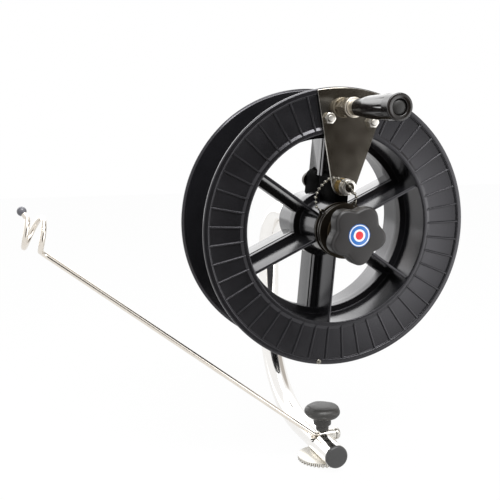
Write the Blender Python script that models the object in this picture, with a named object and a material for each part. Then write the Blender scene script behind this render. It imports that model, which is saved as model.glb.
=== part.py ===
"""Trolling reel: a hand-cranked line spool on a bent stainless tube, with a star drag knob,
a wire line guide and a toothed mounting disc. Metres, +Z up, spool axis along Y, crank at -Y.
The origin is the centre of the toothed disc's underside."""

import bmesh
import bpy
from math import asin, atan2, cos, hypot, pi, radians, sin, sqrt
from mathutils import Matrix, Vector

# Gaps and running clearances
GAP = 0.0003
BOLT_CLEARANCE = 0.0004
OVERRUN = 0.002

# Spool: two moulded halves that meet at the middle
FLANGE_RADIUS = 0.140
SPOOL_WIDTH = 0.0923
OPENING_RADIUS = 0.0957
DRUM_WALL = 0.004
FLANGE_THICKNESS = 0.005
RIM_WIDTH = 0.0062
BORDER_WIDTH = 0.0055
BORDER_DROP = 0.0004
PANEL_RECESS = 0.0018
EDGE_CHAMFER = 0.0012
RIM_TAPER = 0.0015
RIB_COUNT = 45
RIB_WIDTH = 0.0013
RIB_RISE = 0.0011
MIDDLE_WEB = 0.0068
MIDDLE_LEDGE = 0.0070
SPOKE_COUNT = 6
SPOKE_THICKNESS = 0.0029
SPOKE_WEB_WIDTH = 0.0136
SPOKE_SETBACK = 0.0025
HUB_RADIUS = 0.0265
REAR_HUB_RADIUS = 0.0304
HUB_WALL = 0.0065
HUB_LEDGE = 0.0072
BOLT_BOSS_WIDTH = 0.0124
BOLT_BOSS_ROOF = 0.0115
REAR_BOSS_SETBACK = 0.0094

# Axle, bushes and drag discs, in the order they stack towards the crank side
AXLE_RADIUS = 0.008
AXLE_THREAD_RADIUS = 0.005
AXLE_SOCKET_DEPTH = 0.024
BUSH_LENGTH = 0.016
BUSH_FLANGE = 0.002
BUSH_FLANGE_RADIUS = 0.0245
COLLAR_RADIUS = 0.017
COLLAR_THICKNESS = 0.004
DRAG_DISC_RADIUS = 0.0275
DRAG_DISC_THICKNESS = 0.0025
LINING_RADIUS = 0.0258
LINING_THICKNESS = 0.0030
KEYED_DISC_RADIUS = 0.0268
KEY_FLAT_SHARE = 0.7
EAR_RADIUS = 0.0030
EAR_REACH = 0.0024
EAR_EYE_RADIUS = 0.0013
REAR_EAR_ANGLE = radians(138)
FRONT_EAR_ANGLE = radians(72)
SPRING_RADIUS = 0.0200
SPRING_SHEET = 0.0012
SPRING_RISE = 0.0028
PRESSURE_WASHER_RADIUS = 0.0135
PRESSURE_WASHER_THICKNESS = 0.0024

# Star knob
KNOB_TIP_RADIUS = 0.0294
KNOB_VALLEY_DEPTH = 0.0060
KNOB_LOBES = 5
KNOB_THICKNESS = 0.0175
KNOB_EDGE = 0.0035
KNOB_BOSS_RADIUS = 0.0138
KNOB_BOSS_HEIGHT = 0.0063
KNOB_INSERT_RADIUS = 0.0085
KNOB_INSERT_LENGTH = 0.010
KNOB_LOBE_ANGLE = radians(276)
BADGE_RADIUS = 0.0111
BADGE_THICKNESS = 0.0005
BADGE_SEAT_DEPTH = 0.0006

# Crank plate and its fasteners
CRANK_ANGLE = radians(5)
CRANK_SHEET = 0.002
CRANK_TIP_PLACE = 0.0427
CRANK_TIP_RADIUS = 0.0130
CRANK_TIP_OFFSET = 0.0035
CRANK_HALF_WIDTH = 0.0385
CRANK_BOLT_CLEAR = 0.0045
CRANK_BOLT_SPREAD = 0.0231
CRANK_BOLT_RADIUS = 0.003
CRANK_BOLT_HEAD_RADIUS = 0.0062
CRANK_BOLT_HEAD_HEIGHT = 0.0032
CRANK_NUT_FLATS = 0.010
CRANK_NUT_HEIGHT = 0.005
TIP_BOLT_RADIUS = 0.004
TIP_BOLT_HEAD_RADIUS = 0.0080
TIP_BOLT_HEAD_HEIGHT = 0.0045
TIP_CUP_RADIUS = 0.0092
TIP_CUP_LENGTH = 0.0046
TIP_SPACER_RADIUS = 0.0080
TIP_SPACER_LENGTH = 0.0050
TIP_WASHER_RADIUS = 0.0089
TIP_WASHER_THICKNESS = 0.0016
TIP_NUT_FLATS = 0.0142
TIP_NUT_HEIGHT = 0.0060
BOLT_PROUD = 0.0012

# Crank handle
HANDLE_INSET = 0.0202
HANDLE_ASIDE = -0.0044
HANDLE_BOLT_RADIUS = 0.004
HANDLE_SINK_RADIUS = 0.0060
HANDLE_SINK_DEPTH = 0.0014
HANDLE_NUT_FLATS = 0.017
HANDLE_NUT_HEIGHT = 0.008
HANDLE_FERRULE_RADIUS = 0.0100
HANDLE_FERRULE_LENGTH = 0.0080
HANDLE_NECK_RADIUS = 0.0078
HANDLE_NECK_LENGTH = 0.0100
GRIP_LENGTH = 0.0820
GRIP_NECK_RADIUS = 0.0083
GRIP_WAIST_RADIUS = 0.0106
GRIP_END_RADIUS = 0.0123
GRIP_NECK_SHARE = 0.30
GRIP_BAND_LENGTH = 0.014
GRIP_FLUTES = 10
GRIP_FLUTE_DEPTH = 0.0007
GRIP_FLUTE_TURN_SHARE = 0.13
GRIP_CAP_RADIUS = 0.0069
GRIP_CAP_RECESS = 0.0016
GRIP_CAP_HEIGHT = 0.0050

# Flange rim screw
RIM_SCREW_ANGLE = radians(-93.4)
RIM_SCREW_RADIUS = 0.0015
RIM_SCREW_HEAD_RADIUS = 0.0030
RIM_SCREW_HEAD_HEIGHT = 0.0018

# Bead chain from the rear ear over the tip bolt to the front ear
BEAD_RADIUS = 0.0016
BEAD_PITCH = 0.0048
BEAD_LINK_RADIUS = 0.0006
CHAIN_RING_RADIUS = 0.0028
CHAIN_RING_WIRE = 0.0006

# The chain's route, from the centre of the tip bolt's front end
CHAIN_ROUTE = [
    (-0.0305, -0.0150, -0.0127),
    (-0.0313, -0.0097, -0.0117),
    (-0.0301, -0.0045, -0.0102),
    (-0.0281, 0.0006, -0.0082),
    (-0.0253, 0.0043, -0.0057),
    (-0.0230, 0.0080, -0.0032),
    (-0.0205, 0.0096, -0.0007),
    (-0.0168, 0.0100, 0.0010),
    (-0.0122, 0.0092, 0.0020),
    (-0.0077, 0.0066, 0.0025),
    (-0.0030, 0.0032, 0.0026),
    (0.0007, -0.0016, 0.0025),
    (0.0042, -0.0056, 0.0015),
]

# Bent tube frame
TUBE_RADIUS = 0.0125
TUBE_BORE_RADIUS = 0.0110
SPOOL_AXIS_RISE = 0.2389
SPOOL_MIDDLE_BACK = 0.0110
LEG_BACK = 0.1788
LOWER_BEND_RADIUS = 0.115
UPPER_BEND_RADIUS = 0.058
ARM_REACH = 0.0385
CAP_FLANGE = 0.003
CAP_PLUG_LENGTH = 0.012
CAP_ROUND = 0.0012

# Toothed mounting disc under the arm
DISC_RADIUS = 0.0260
DISC_THICKNESS = 0.005
DISC_TEETH = 36
DISC_TOOTH_DEPTH = 0.0022
DISC_TOOTH_LENGTH = 0.0050
DISC_THREAD_RADIUS = 0.004
DISC_BORE_RISE = 0.006

# Line guide: cross sleeve, clamp knob and wire
SLEEVE_RISE = 0.0095
SLEEVE_RADIUS = 0.0060
SLEEVE_LEFT = 0.0045
SLEEVE_RIGHT = 0.0145
WIRE_RADIUS = 0.0026
WIRE_CLEARANCE = 0.0003
WIRE_RISE_ANGLE = radians(37.5)
WIRE_FOOT_BEND = 0.009
WIRE_STRAIGHT = 0.3500
END_NUT_RADIUS = 0.0064
END_NUT_LENGTH = 0.0058
PIGTAIL_RADIUS = 0.0156
PIGTAIL_PITCH = 0.0155
PIGTAIL_TILT_ANGLE = radians(19)
PIGTAIL_TURNS = 1.39
PIGTAIL_LEAD_ANGLE = radians(25)
PIGTAIL_CORNER = 0.008
PIGTAIL_SET = 0.0005
PIGTAIL_TAIL = 0.0075
PIGTAIL_TAIL_LEAN = 0.75
TIP_BALL_RADIUS = 0.0045
TIP_BALL_DEPTH_SHARE = 0.6
CLAMP_STUD_RADIUS = 0.003
CLAMP_PAD_THICKNESS = 0.0012
CLAMP_PAD_CLEARANCE = 0.0002
CLAMP_KNOB_RADIUS = 0.0196
CLAMP_KNOB_LOBES = 5
CLAMP_KNOB_VALLEY = 0.0016
CLAMP_KNOB_HEIGHT = 0.0145
CLAMP_KNOB_SKIRT_RADIUS = 0.0090
CLAMP_KNOB_SKIRT_HEIGHT = 0.0070
CLAMP_KNOB_STEM_RADIUS = 0.0064
CLAMP_KNOB_STEM_HEIGHT = 0.0060

# Facets
FLANGE_SIDES = 48
HUB_SIDES = 20
DISC_SIDES = 24
SHAFT_SIDES = 16
BOLT_SIDES = 10
BEND_STEPS = 7

# Places that follow from the sizes above
HALF_WIDTH = SPOOL_WIDTH / 2
CRANK_BOLT_REACH = OPENING_RADIUS + DRUM_WALL + CRANK_BOLT_HEAD_RADIUS + CRANK_BOLT_CLEAR
CRANK_BOLT_PLACE = sqrt(CRANK_BOLT_REACH**2 - CRANK_BOLT_SPREAD**2)
HANDLE_PLACE = FLANGE_RADIUS - HANDLE_INSET
ARM_AXIS_Z = DISC_THICKNESS + GAP + TUBE_RADIUS
SPOOL_AXIS_Z = ARM_AXIS_Z + SPOOL_AXIS_RISE
SLEEVE_AXIS_Z = ARM_AXIS_Z + SLEEVE_RISE


def clear_scene():
    for old in list(bpy.data.objects):
        bpy.data.objects.remove(old)


def material(name, colour, roughness, metallic=0.0):
    found = bpy.data.materials.get(name)
    if found:
        return found
    made = bpy.data.materials.new(name)
    made.use_nodes = True
    shader = made.node_tree.nodes["Principled BSDF"]
    shader.inputs["Base Color"].default_value = (*colour, 1)
    shader.inputs["Roughness"].default_value = roughness
    shader.inputs["Metallic"].default_value = metallic
    return made


def black_plastic():
    return material("black moulded plastic", (0.012, 0.012, 0.014), 0.38)


def soft_black():
    return material("black rubbery plastic", (0.016, 0.016, 0.016), 0.55)


def polished_steel():
    return material("polished stainless steel", (0.72, 0.71, 0.69), 0.08, 1.0)


def brushed_steel():
    return material("brushed stainless steel", (0.34, 0.33, 0.31), 0.32, 1.0)


def dark_steel():
    return material("oiled dark steel", (0.05, 0.048, 0.045), 0.3, 1.0)


def lining_fibre():
    return material("drag lining fibre", (0.03, 0.028, 0.026), 0.8)


def bush_plastic():
    return material("black acetal", (0.02, 0.02, 0.021), 0.35)


def brass():
    return material("brass", (0.60, 0.42, 0.16), 0.25, 1.0)


def badge_enamel():
    return material("badge enamel", (0.10, 0.25, 0.65), 0.3)


def empty(name, place, turn=None, parent=None):
    made = bpy.data.objects.new(name, None)
    bpy.context.scene.collection.objects.link(made)
    made.matrix_world = Matrix.Translation(place) @ (turn or Matrix.Identity(4))
    if parent:
        made.parent = parent
    return made


def finish(name, shape, finish_material, parent=None, smooth_angle=radians(32)):
    """Turns a bmesh into a linked object with outward faces and smooth round sides."""
    bmesh.ops.remove_doubles(shape, verts=shape.verts, dist=GAP / 1000)
    bmesh.ops.recalc_face_normals(shape, faces=shape.faces)
    mesh = bpy.data.meshes.new(name)
    shape.to_mesh(mesh)
    shape.free()
    mesh.shade_smooth()
    mesh.set_sharp_from_angle(angle=smooth_angle)
    made = bpy.data.objects.new(name, mesh)
    bpy.context.scene.collection.objects.link(made)
    if finish_material:
        mesh.materials.append(finish_material)
    if parent:
        made.parent = parent
    return made


def turned_shape(outline, sides, start=0.0):
    """Revolves an outline of (radius, height) points about Z. Ends on the axis stay open."""
    shape = bmesh.new()
    places = [Vector((r, 0, z)) for r, z in outline]
    points = [shape.verts.new(Matrix.Rotation(start, 3, "Z") @ place) for place in places]
    pairs = list(zip(points, points[1:]))
    if outline[0][0] > 0 or outline[-1][0] > 0:
        pairs.append((points[-1], points[0]))
    edges = [shape.edges.new(pair) for pair in pairs]
    bmesh.ops.spin(
        shape,
        geom=points + edges,
        cent=(0, 0, 0),
        axis=(0, 0, 1),
        angle=2 * pi,
        steps=sides,
        use_merge=True,
    )
    return shape


def turned(name, outline, sides, finish_material=None, parent=None):
    return finish(name, turned_shape(outline, sides), finish_material, parent)


def prism_shape(outline, low, high):
    """Extrudes an outline of (x, y) points from height low to height high."""
    shape = bmesh.new()
    face = shape.faces.new([shape.verts.new((x, y, low)) for x, y in outline])
    grown = bmesh.ops.extrude_face_region(shape, geom=[face])
    moved = [v for v in grown["geom"] if isinstance(v, bmesh.types.BMVert)]
    bmesh.ops.translate(shape, verts=moved, vec=(0, 0, high - low))
    return shape


def prism(name, outline, low, high, finish_material=None, parent=None):
    return finish(name, prism_shape(outline, low, high), finish_material, parent)


def ring_points(radius, sides, start=0.0, x=0.0, y=0.0):
    steps = [start + 2 * pi * i / sides for i in range(sides)]
    return [(x + radius * cos(a), y + radius * sin(a)) for a in steps]


def hexagon(flats, x=0.0, y=0.0):
    return ring_points(flats / 2 / cos(pi / 6), 6, 0.0, x, y)


def washer(name, outer, bore, low, high, sides, finish_material=None, parent=None):
    outline = [(outer, low), (outer, high), (bore, high), (bore, low)]
    return turned(name, outline, sides, finish_material, parent)


def cutter(name, x, y, radius, low, high, parent, sides=BOLT_SIDES):
    made = prism(name, ring_points(radius, sides, 0.0, x, y), low, high, None, parent)
    return made


def combine(target, tool, operation):
    """Adds an exact Boolean to target and keeps the tool object out of the model."""
    step = target.modifiers.new(operation.lower() + " " + tool.name, "BOOLEAN")
    step.operation = operation
    step.solver = "EXACT"
    step.object = tool
    tool.hide_render = True
    tool.display_type = "WIRE"


def cut(target, *tools):
    for tool in tools:
        combine(target, tool, "DIFFERENCE")


def join(target, *tools):
    for tool in tools:
        combine(target, tool, "UNION")


def boxes_round(name, count, start, inner, outer, width, low, high, parent):
    """Radial bars of one width, evenly round the axis, as one tool mesh."""
    shape = bmesh.new()
    for i in range(count):
        turn = Matrix.Rotation(start + 2 * pi * i / count, 3, "Z")
        corners = [(inner, -width / 2), (outer, -width / 2), (outer, width / 2), (inner, width / 2)]
        base = [shape.verts.new(turn @ Vector((x, y, low))) for x, y in corners]
        top = [shape.verts.new(turn @ Vector((x, y, high))) for x, y in corners]
        shape.faces.new(base)
        shape.faces.new(top)
        for j in range(4):
            shape.faces.new((base[j], base[(j + 1) % 4], top[(j + 1) % 4], top[j]))
    return finish(name, shape, None, parent)


def sweep(name, route, radius, sides, finish_material=None, parent=None, shares=None):
    """A round wire or tube along a route of points, as a bevelled curve turned to a mesh."""
    curve = bpy.data.curves.new(name, "CURVE")
    curve.dimensions = "3D"
    curve.bevel_depth = radius
    curve.bevel_resolution = (sides - 4) // 2
    curve.use_fill_caps = True
    curve.twist_mode = "MINIMUM"
    line = curve.splines.new("POLY")
    line.points.add(len(route) - 1)
    for i, place in enumerate(route):
        line.points[i].co = (*place, 1)
        line.points[i].radius = shares[i] if shares else 1
    guide = bpy.data.objects.new(name + " route", curve)
    bpy.context.scene.collection.objects.link(guide)
    bpy.context.view_layer.update()
    graph = bpy.context.evaluated_depsgraph_get()
    shape = bmesh.new()
    shape.from_mesh(bpy.data.meshes.new_from_object(guide.evaluated_get(graph)))
    bpy.data.objects.remove(guide)
    return finish(name, shape, finish_material, parent)


def arc(centre, radius, first, last, steps, first_axis, second_axis):
    """Points on an arc in the plane of two unit axes, from angle first to angle last."""
    turns = [first + (last - first) * i / steps for i in range(steps + 1)]
    return [
        centre + radius * (cos(turn) * first_axis + sin(turn) * second_axis)
        for turn in turns
    ]


def smooth_route(points, steps):
    """A Catmull-Rom curve through the points."""
    ends = [2 * points[0] - points[1]] + points + [2 * points[-1] - points[-2]]
    route = []
    for a, b, c, d in zip(ends, ends[1:], ends[2:], ends[3:]):
        for i in range(steps):
            t = i / steps
            route.append(
                (2 * b + (c - a) * t + (2 * a - 5 * b + 4 * c - d) * t**2
                 + (3 * b - a - 3 * c + d) * t**3) / 2
            )
    return route + [points[-1]]


def spaced(route, pitch):
    """Points at an even distance along a route of points."""
    found = [route[0]]
    left = pitch
    for a, b in zip(route, route[1:]):
        length = (b - a).length
        while length > left:
            a = a + (b - a) * (left / length)
            found.append(a)
            length = (b - a).length
            left = pitch
        left -= length
    return found


def lobed_outline(tip, valley_depth, lobes, turn, steps_per_lobe=8):
    """A knob outline with round lobes: the radius swings between tip and valley."""
    points = []
    for i in range(lobes * steps_per_lobe):
        angle = 2 * pi * i / (lobes * steps_per_lobe)
        swing = (1 + cos(lobes * angle)) / 2
        radius = tip - valley_depth * (1 - swing**0.8)
        points.append((radius * cos(angle + turn), radius * sin(angle + turn)))
    return points


def layered(name, outline, layers, finish_material=None, parent=None, closed=True):
    """Lofts an outline through (inset, height) layers, bottom first, and caps both ends."""
    shape = bmesh.new()
    rings = []
    for inset, height in layers:
        ring = []
        for x, y in outline:
            share = 1 - inset / hypot(x, y)
            ring.append(shape.verts.new((x * share, y * share, height)))
        rings.append(ring)
    count = len(outline)
    for low, high in zip(rings, rings[1:]):
        for i in range(count):
            j = (i + 1) % count
            shape.faces.new((low[i], low[j], high[j], high[i]))
    shape.faces.new(list(reversed(rings[0])))
    shape.faces.new(rings[-1])
    return finish(name, shape, finish_material, parent)


def crank_place(along, aside=0.0):
    """A place on the crank plate, from its distance along and aside of its centre line."""
    return (
        along * sin(CRANK_ANGLE) + aside * cos(CRANK_ANGLE),
        along * cos(CRANK_ANGLE) - aside * sin(CRANK_ANGLE),
    )


def spool_half(name, hub_radius, boss_face, frame):
    """One moulded half: flange with ribbed panel, drum wall, middle ring, spokes and hub.
    Its own Z runs outward from the seam, and its first spoke and bolt boss lie along Y."""
    seam = GAP / 2
    drum_outer = OPENING_RADIUS + DRUM_WALL
    inner_face = HALF_WIDTH - FLANGE_THICKNESS
    panel = HALF_WIDTH - PANEL_RECESS
    border_face = HALF_WIDTH - BORDER_DROP
    border_outer = OPENING_RADIUS + BORDER_WIDTH
    rim_inner = FLANGE_RADIUS - RIM_WIDTH
    outline = [
        (drum_outer, seam),
        (drum_outer, inner_face),
        (FLANGE_RADIUS - 2 * EDGE_CHAMFER, inner_face),
        (FLANGE_RADIUS, inner_face + RIM_TAPER),
        (FLANGE_RADIUS, HALF_WIDTH - EDGE_CHAMFER),
        (FLANGE_RADIUS - EDGE_CHAMFER, HALF_WIDTH),
        (rim_inner + EDGE_CHAMFER, HALF_WIDTH),
        (rim_inner, panel),
        (border_outer, panel),
        (border_outer - EDGE_CHAMFER / 2, border_face),
        (OPENING_RADIUS + EDGE_CHAMFER, border_face),
        (OPENING_RADIUS, border_face - EDGE_CHAMFER),
        (OPENING_RADIUS, seam + MIDDLE_WEB),
        (OPENING_RADIUS - MIDDLE_LEDGE, seam + MIDDLE_WEB),
        (OPENING_RADIUS - MIDDLE_LEDGE, seam),
    ]
    half = turned(name, outline, FLANGE_SIDES, black_plastic(), frame)
    hub_bore = HUB_RADIUS - HUB_WALL
    hub = turned(
        name + " hub",
        [
            (HUB_RADIUS + HUB_LEDGE, seam),
            (HUB_RADIUS + HUB_LEDGE, seam + MIDDLE_WEB),
            (hub_radius, seam + MIDDLE_WEB),
            (hub_radius, HALF_WIDTH - EDGE_CHAMFER),
            (hub_radius - EDGE_CHAMFER, HALF_WIDTH),
            (hub_bore, HALF_WIDTH),
            (hub_bore, seam),
        ],
        HUB_SIDES,
        None,
        frame,
    )
    wall_middle = OPENING_RADIUS + DRUM_WALL / 2
    first_spoke = pi / 2
    fins = boxes_round(
        name + " fins", SPOKE_COUNT, first_spoke, HUB_RADIUS - HUB_WALL / 2, wall_middle,
        SPOKE_THICKNESS, seam + MIDDLE_WEB / 2, HALF_WIDTH - SPOKE_SETBACK, frame,
    )
    webs = boxes_round(
        name + " webs", SPOKE_COUNT, first_spoke, HUB_RADIUS + HUB_LEDGE / 2,
        OPENING_RADIUS - MIDDLE_LEDGE / 2, SPOKE_WEB_WIDTH,
        seam + MIDDLE_WEB / 5, seam + MIDDLE_WEB - BORDER_DROP, frame,
    )
    ribs = boxes_round(
        name + " ribs", RIB_COUNT, first_spoke + pi / RIB_COUNT, border_outer - EDGE_CHAMFER,
        rim_inner + EDGE_CHAMFER, RIB_WIDTH, panel - RIB_RISE / 2, panel + RIB_RISE, frame,
    )
    boss_half = BOLT_BOSS_WIDTH / 2
    boss_foot = HUB_RADIUS - HUB_WALL / 2
    boss = prism(
        name + " boss",
        [
            (-boss_half, boss_foot),
            (boss_half, boss_foot),
            (boss_half, CRANK_TIP_PLACE + BOLT_BOSS_ROOF / 2),
            (boss_half / 2, CRANK_TIP_PLACE + BOLT_BOSS_ROOF),
            (-boss_half / 2, CRANK_TIP_PLACE + BOLT_BOSS_ROOF),
            (-boss_half, CRANK_TIP_PLACE + BOLT_BOSS_ROOF / 2),
        ],
        seam + MIDDLE_WEB / 3, boss_face + BORDER_DROP, None, frame,
    )
    join(half, hub, fins, webs, boss, ribs)
    tip_hole = cutter(
        name + " tip bolt hole", 0, CRANK_TIP_PLACE, TIP_BOLT_RADIUS + BOLT_CLEARANCE,
        -OVERRUN, HALF_WIDTH + OVERRUN, frame,
    )
    boss_seat = cutter(
        name + " tip bolt seat", 0, CRANK_TIP_PLACE, TIP_CUP_RADIUS + EDGE_CHAMFER,
        boss_face, HALF_WIDTH + OVERRUN, frame, HUB_SIDES,
    )
    cut(half, tip_hole, boss_seat)
    return half


def crank_bolt_holes(half, frame):
    """Flange holes for the two crank bolts and the rim screw, in the crank side's half."""
    for word, aside in (("left", -CRANK_BOLT_SPREAD), ("right", CRANK_BOLT_SPREAD)):
        hole = cutter(
            "flange hole " + word, aside, CRANK_BOLT_PLACE, CRANK_BOLT_RADIUS + BOLT_CLEARANCE,
            HALF_WIDTH - FLANGE_THICKNESS - OVERRUN, HALF_WIDTH + OVERRUN, frame,
        )
        cut(half, hole)
    reach = FLANGE_RADIUS - RIM_WIDTH / 2
    hole = cutter(
        "rim screw hole", reach * cos(RIM_SCREW_ANGLE), reach * sin(RIM_SCREW_ANGLE),
        RIM_SCREW_RADIUS + BOLT_CLEARANCE, HALF_WIDTH - FLANGE_THICKNESS - OVERRUN,
        HALF_WIDTH + OVERRUN, frame, BOLT_SIDES // 2,
    )
    cut(half, hole)


def make_spool(frame):
    boss_face = HALF_WIDTH - BORDER_DROP - EDGE_CHAMFER / 2
    front = spool_half("spool_front_half", HUB_RADIUS, boss_face, frame)
    crank_bolt_holes(front, frame)
    turned_back = empty("rear half frame", (0, 0, 0), Matrix.Rotation(pi, 4, "Y"))
    turned_back.parent = frame
    spool_half("spool_rear_half", REAR_HUB_RADIUS, HALF_WIDTH - REAR_BOSS_SETBACK, turned_back)


def make_bushes(frame):
    """Flanged acetal bushes pressed into both ends of the hub."""
    body = HUB_RADIUS - HUB_WALL - GAP
    for word, way in (("front", 1), ("rear", -1)):
        face = HALF_WIDTH + GAP
        outline = [
            (BUSH_FLANGE_RADIUS, face),
            (BUSH_FLANGE_RADIUS, face + BUSH_FLANGE),
            (AXLE_RADIUS + GAP, face + BUSH_FLANGE),
            (AXLE_RADIUS + GAP, face - BUSH_LENGTH),
            (body, face - BUSH_LENGTH),
            (body, face),
        ]
        turned("hub_bush_" + word, [(r, way * z) for r, z in outline], DISC_SIDES,
               bush_plastic(), frame)


def ear_outline(radius, ear_angle):
    """A round disc with one round ear that stands out at ear_angle."""
    ear_place = radius + EAR_REACH - EAR_RADIUS
    half_turn = asin(EAR_RADIUS / radius)
    first = ear_angle + half_turn
    last = ear_angle - half_turn + 2 * pi
    disc = [first + (last - first) * i / DISC_SIDES for i in range(DISC_SIDES + 1)]
    points = [(radius * cos(a), radius * sin(a)) for a in disc]
    ear_x, ear_y = ear_place * cos(ear_angle), ear_place * sin(ear_angle)
    steps = [ear_angle - pi / 2 + pi * i / 8 for i in range(9)]
    points += [(ear_x + EAR_RADIUS * cos(a), ear_y + EAR_RADIUS * sin(a)) for a in steps]
    return points


def eared_disc(name, low, ear_angle, frame):
    """A drag disc with a drilled ear for the chain's ring."""
    disc = prism(name, ear_outline(DRAG_DISC_RADIUS, ear_angle), low,
                 low + DRAG_DISC_THICKNESS, dark_steel(), frame)
    bore = cutter(name + " bore", 0, 0, AXLE_RADIUS + GAP, low - OVERRUN,
                  low + DRAG_DISC_THICKNESS + OVERRUN, frame, SHAFT_SIDES)
    reach = DRAG_DISC_RADIUS + EAR_REACH - EAR_RADIUS
    eye = cutter(name + " eye", reach * cos(ear_angle), reach * sin(ear_angle),
                 EAR_EYE_RADIUS, low - OVERRUN,
                 low + DRAG_DISC_THICKNESS + OVERRUN, frame, BOLT_SIDES // 2)
    cut(disc, bore, eye)


def flatted(radius, sides):
    """A round outline with one flat, for the keyed end of the axle."""
    flat = radius * KEY_FLAT_SHARE
    edge = asin(flat / radius)
    steps = [edge - (pi + 2 * edge) * i / sides for i in range(sides + 1)]
    return [(radius * cos(a), radius * sin(a)) for a in steps]


def make_drag(frame):
    """Discs and linings squeezed by the star knob. It gives the height where the knob starts."""
    z = HALF_WIDTH + 2 * GAP + BUSH_FLANGE
    eared_disc("inner_drag_disc", z, REAR_EAR_ANGLE, frame)
    z += DRAG_DISC_THICKNESS + GAP
    washer("inner_lining", LINING_RADIUS, AXLE_RADIUS + GAP, z, z + LINING_THICKNESS,
           DISC_SIDES, lining_fibre(), frame)
    z += LINING_THICKNESS + GAP
    solid = [(0, z), (KEYED_DISC_RADIUS, z), (KEYED_DISC_RADIUS, z + DRAG_DISC_THICKNESS),
             (0, z + DRAG_DISC_THICKNESS)]
    keyed = turned("keyed_disc", solid, DISC_SIDES, dark_steel(), frame)
    key = prism("keyed disc bore", flatted(AXLE_RADIUS + GAP, 2 * SHAFT_SIDES), z - OVERRUN,
                z + DRAG_DISC_THICKNESS + OVERRUN, None, frame)
    cut(keyed, key)
    z += DRAG_DISC_THICKNESS + GAP
    washer("outer_lining", LINING_RADIUS, AXLE_RADIUS + GAP, z, z + LINING_THICKNESS,
           DISC_SIDES, lining_fibre(), frame)
    z += LINING_THICKNESS + GAP
    eared_disc("outer_drag_disc", z, FRONT_EAR_ANGLE, frame)
    z += DRAG_DISC_THICKNESS + GAP
    spring = [
        (SPRING_RADIUS, z),
        (SPRING_RADIUS, z + SPRING_SHEET),
        (AXLE_RADIUS + GAP, z + SPRING_SHEET + SPRING_RISE),
        (AXLE_RADIUS + GAP, z + SPRING_RISE),
    ]
    turned("disc_spring", spring, DISC_SIDES, polished_steel(), frame)
    z += SPRING_SHEET + SPRING_RISE + GAP
    thread_step = z - 2 * GAP
    washer("pressure_washer", PRESSURE_WASHER_RADIUS, AXLE_THREAD_RADIUS + GAP, z,
           z + PRESSURE_WASHER_THICKNESS, DISC_SIDES, polished_steel(), frame)
    z += PRESSURE_WASHER_THICKNESS + GAP
    return thread_step, z


def make_star_knob(frame, low):
    """Five-lobed knob with a boss, a threaded brass insert and a plain round badge."""
    skirt = low + KNOB_BOSS_HEIGHT
    top = skirt + KNOB_THICKNESS
    outline = lobed_outline(KNOB_TIP_RADIUS, KNOB_VALLEY_DEPTH, KNOB_LOBES, KNOB_LOBE_ANGLE)
    layers = [
        (KNOB_EDGE, skirt),
        (KNOB_EDGE * 0.3, skirt + KNOB_EDGE * 0.3),
        (0, skirt + KNOB_EDGE),
        (0, top - KNOB_EDGE),
        (KNOB_EDGE * 0.3, top - KNOB_EDGE * 0.3),
        (KNOB_EDGE, top),
    ]
    knob = layered("star_knob", outline, layers, soft_black(), frame)
    boss = turned("star knob boss", [(0, low), (KNOB_BOSS_RADIUS, low),
                                     (KNOB_BOSS_RADIUS, skirt + KNOB_EDGE), (0, skirt + KNOB_EDGE)],
                  SHAFT_SIDES, None, frame)
    join(knob, boss)
    insert_top = low + KNOB_INSERT_LENGTH
    pocket = cutter("knob insert pocket", 0, 0, KNOB_INSERT_RADIUS + GAP, low - OVERRUN,
                    insert_top + GAP, frame, SHAFT_SIDES)
    bore = cutter("knob thread bore", 0, 0, AXLE_THREAD_RADIUS + GAP, low,
                  top - KNOB_EDGE, frame, SHAFT_SIDES)
    seat = cutter("badge seat", 0, 0, BADGE_RADIUS + GAP, top - BADGE_SEAT_DEPTH - GAP,
                  top + OVERRUN, frame, DISC_SIDES)
    cut(knob, pocket, bore, seat)
    washer("knob_insert", KNOB_INSERT_RADIUS, AXLE_THREAD_RADIUS + GAP, low, insert_top,
           SHAFT_SIDES, brass(), frame)
    badge_low = top - BADGE_SEAT_DEPTH
    badge = [(0, badge_low), (BADGE_RADIUS, badge_low),
             (BADGE_RADIUS, badge_low + BADGE_THICKNESS), (0, badge_low + BADGE_THICKNESS)]
    turned("knob_badge", badge, DISC_SIDES, badge_enamel(), frame)
    return top


def make_axle(frame, tube_end, thread_step, knob_low):
    """Shaft fixed in the tube, with a collar behind the hub, a key flat and a threaded end."""
    back = tube_end - AXLE_SOCKET_DEPTH
    thread_end = knob_low + KNOB_BOSS_HEIGHT + KNOB_THICKNESS - KNOB_EDGE - 2 * OVERRUN
    outline = [
        (0, back),
        (AXLE_RADIUS - EDGE_CHAMFER, back),
        (AXLE_RADIUS, back + EDGE_CHAMFER),
        (AXLE_RADIUS, thread_step),
        (AXLE_THREAD_RADIUS, thread_step),
        (AXLE_THREAD_RADIUS, thread_end - EDGE_CHAMFER),
        (AXLE_THREAD_RADIUS - EDGE_CHAMFER, thread_end),
        (0, thread_end),
    ]
    axle = turned("axle", outline, SHAFT_SIDES, polished_steel(), frame)
    flat = AXLE_RADIUS * KEY_FLAT_SHARE - GAP / 2
    keyway_low = HALF_WIDTH + 2 * GAP + BUSH_FLANGE + DRAG_DISC_THICKNESS
    wide = 2 * AXLE_RADIUS
    keyway = prism("axle key flat", [(-wide, flat), (wide, flat), (wide, wide), (-wide, wide)],
                   keyway_low, thread_step + OVERRUN, None, frame)
    cut(axle, keyway)
    collar_low = -HALF_WIDTH - 2 * GAP - BUSH_FLANGE - COLLAR_THICKNESS
    washer("axle_collar", COLLAR_RADIUS, AXLE_RADIUS + GAP, collar_low,
           collar_low + COLLAR_THICKNESS, SHAFT_SIDES, polished_steel(), frame)


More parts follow.
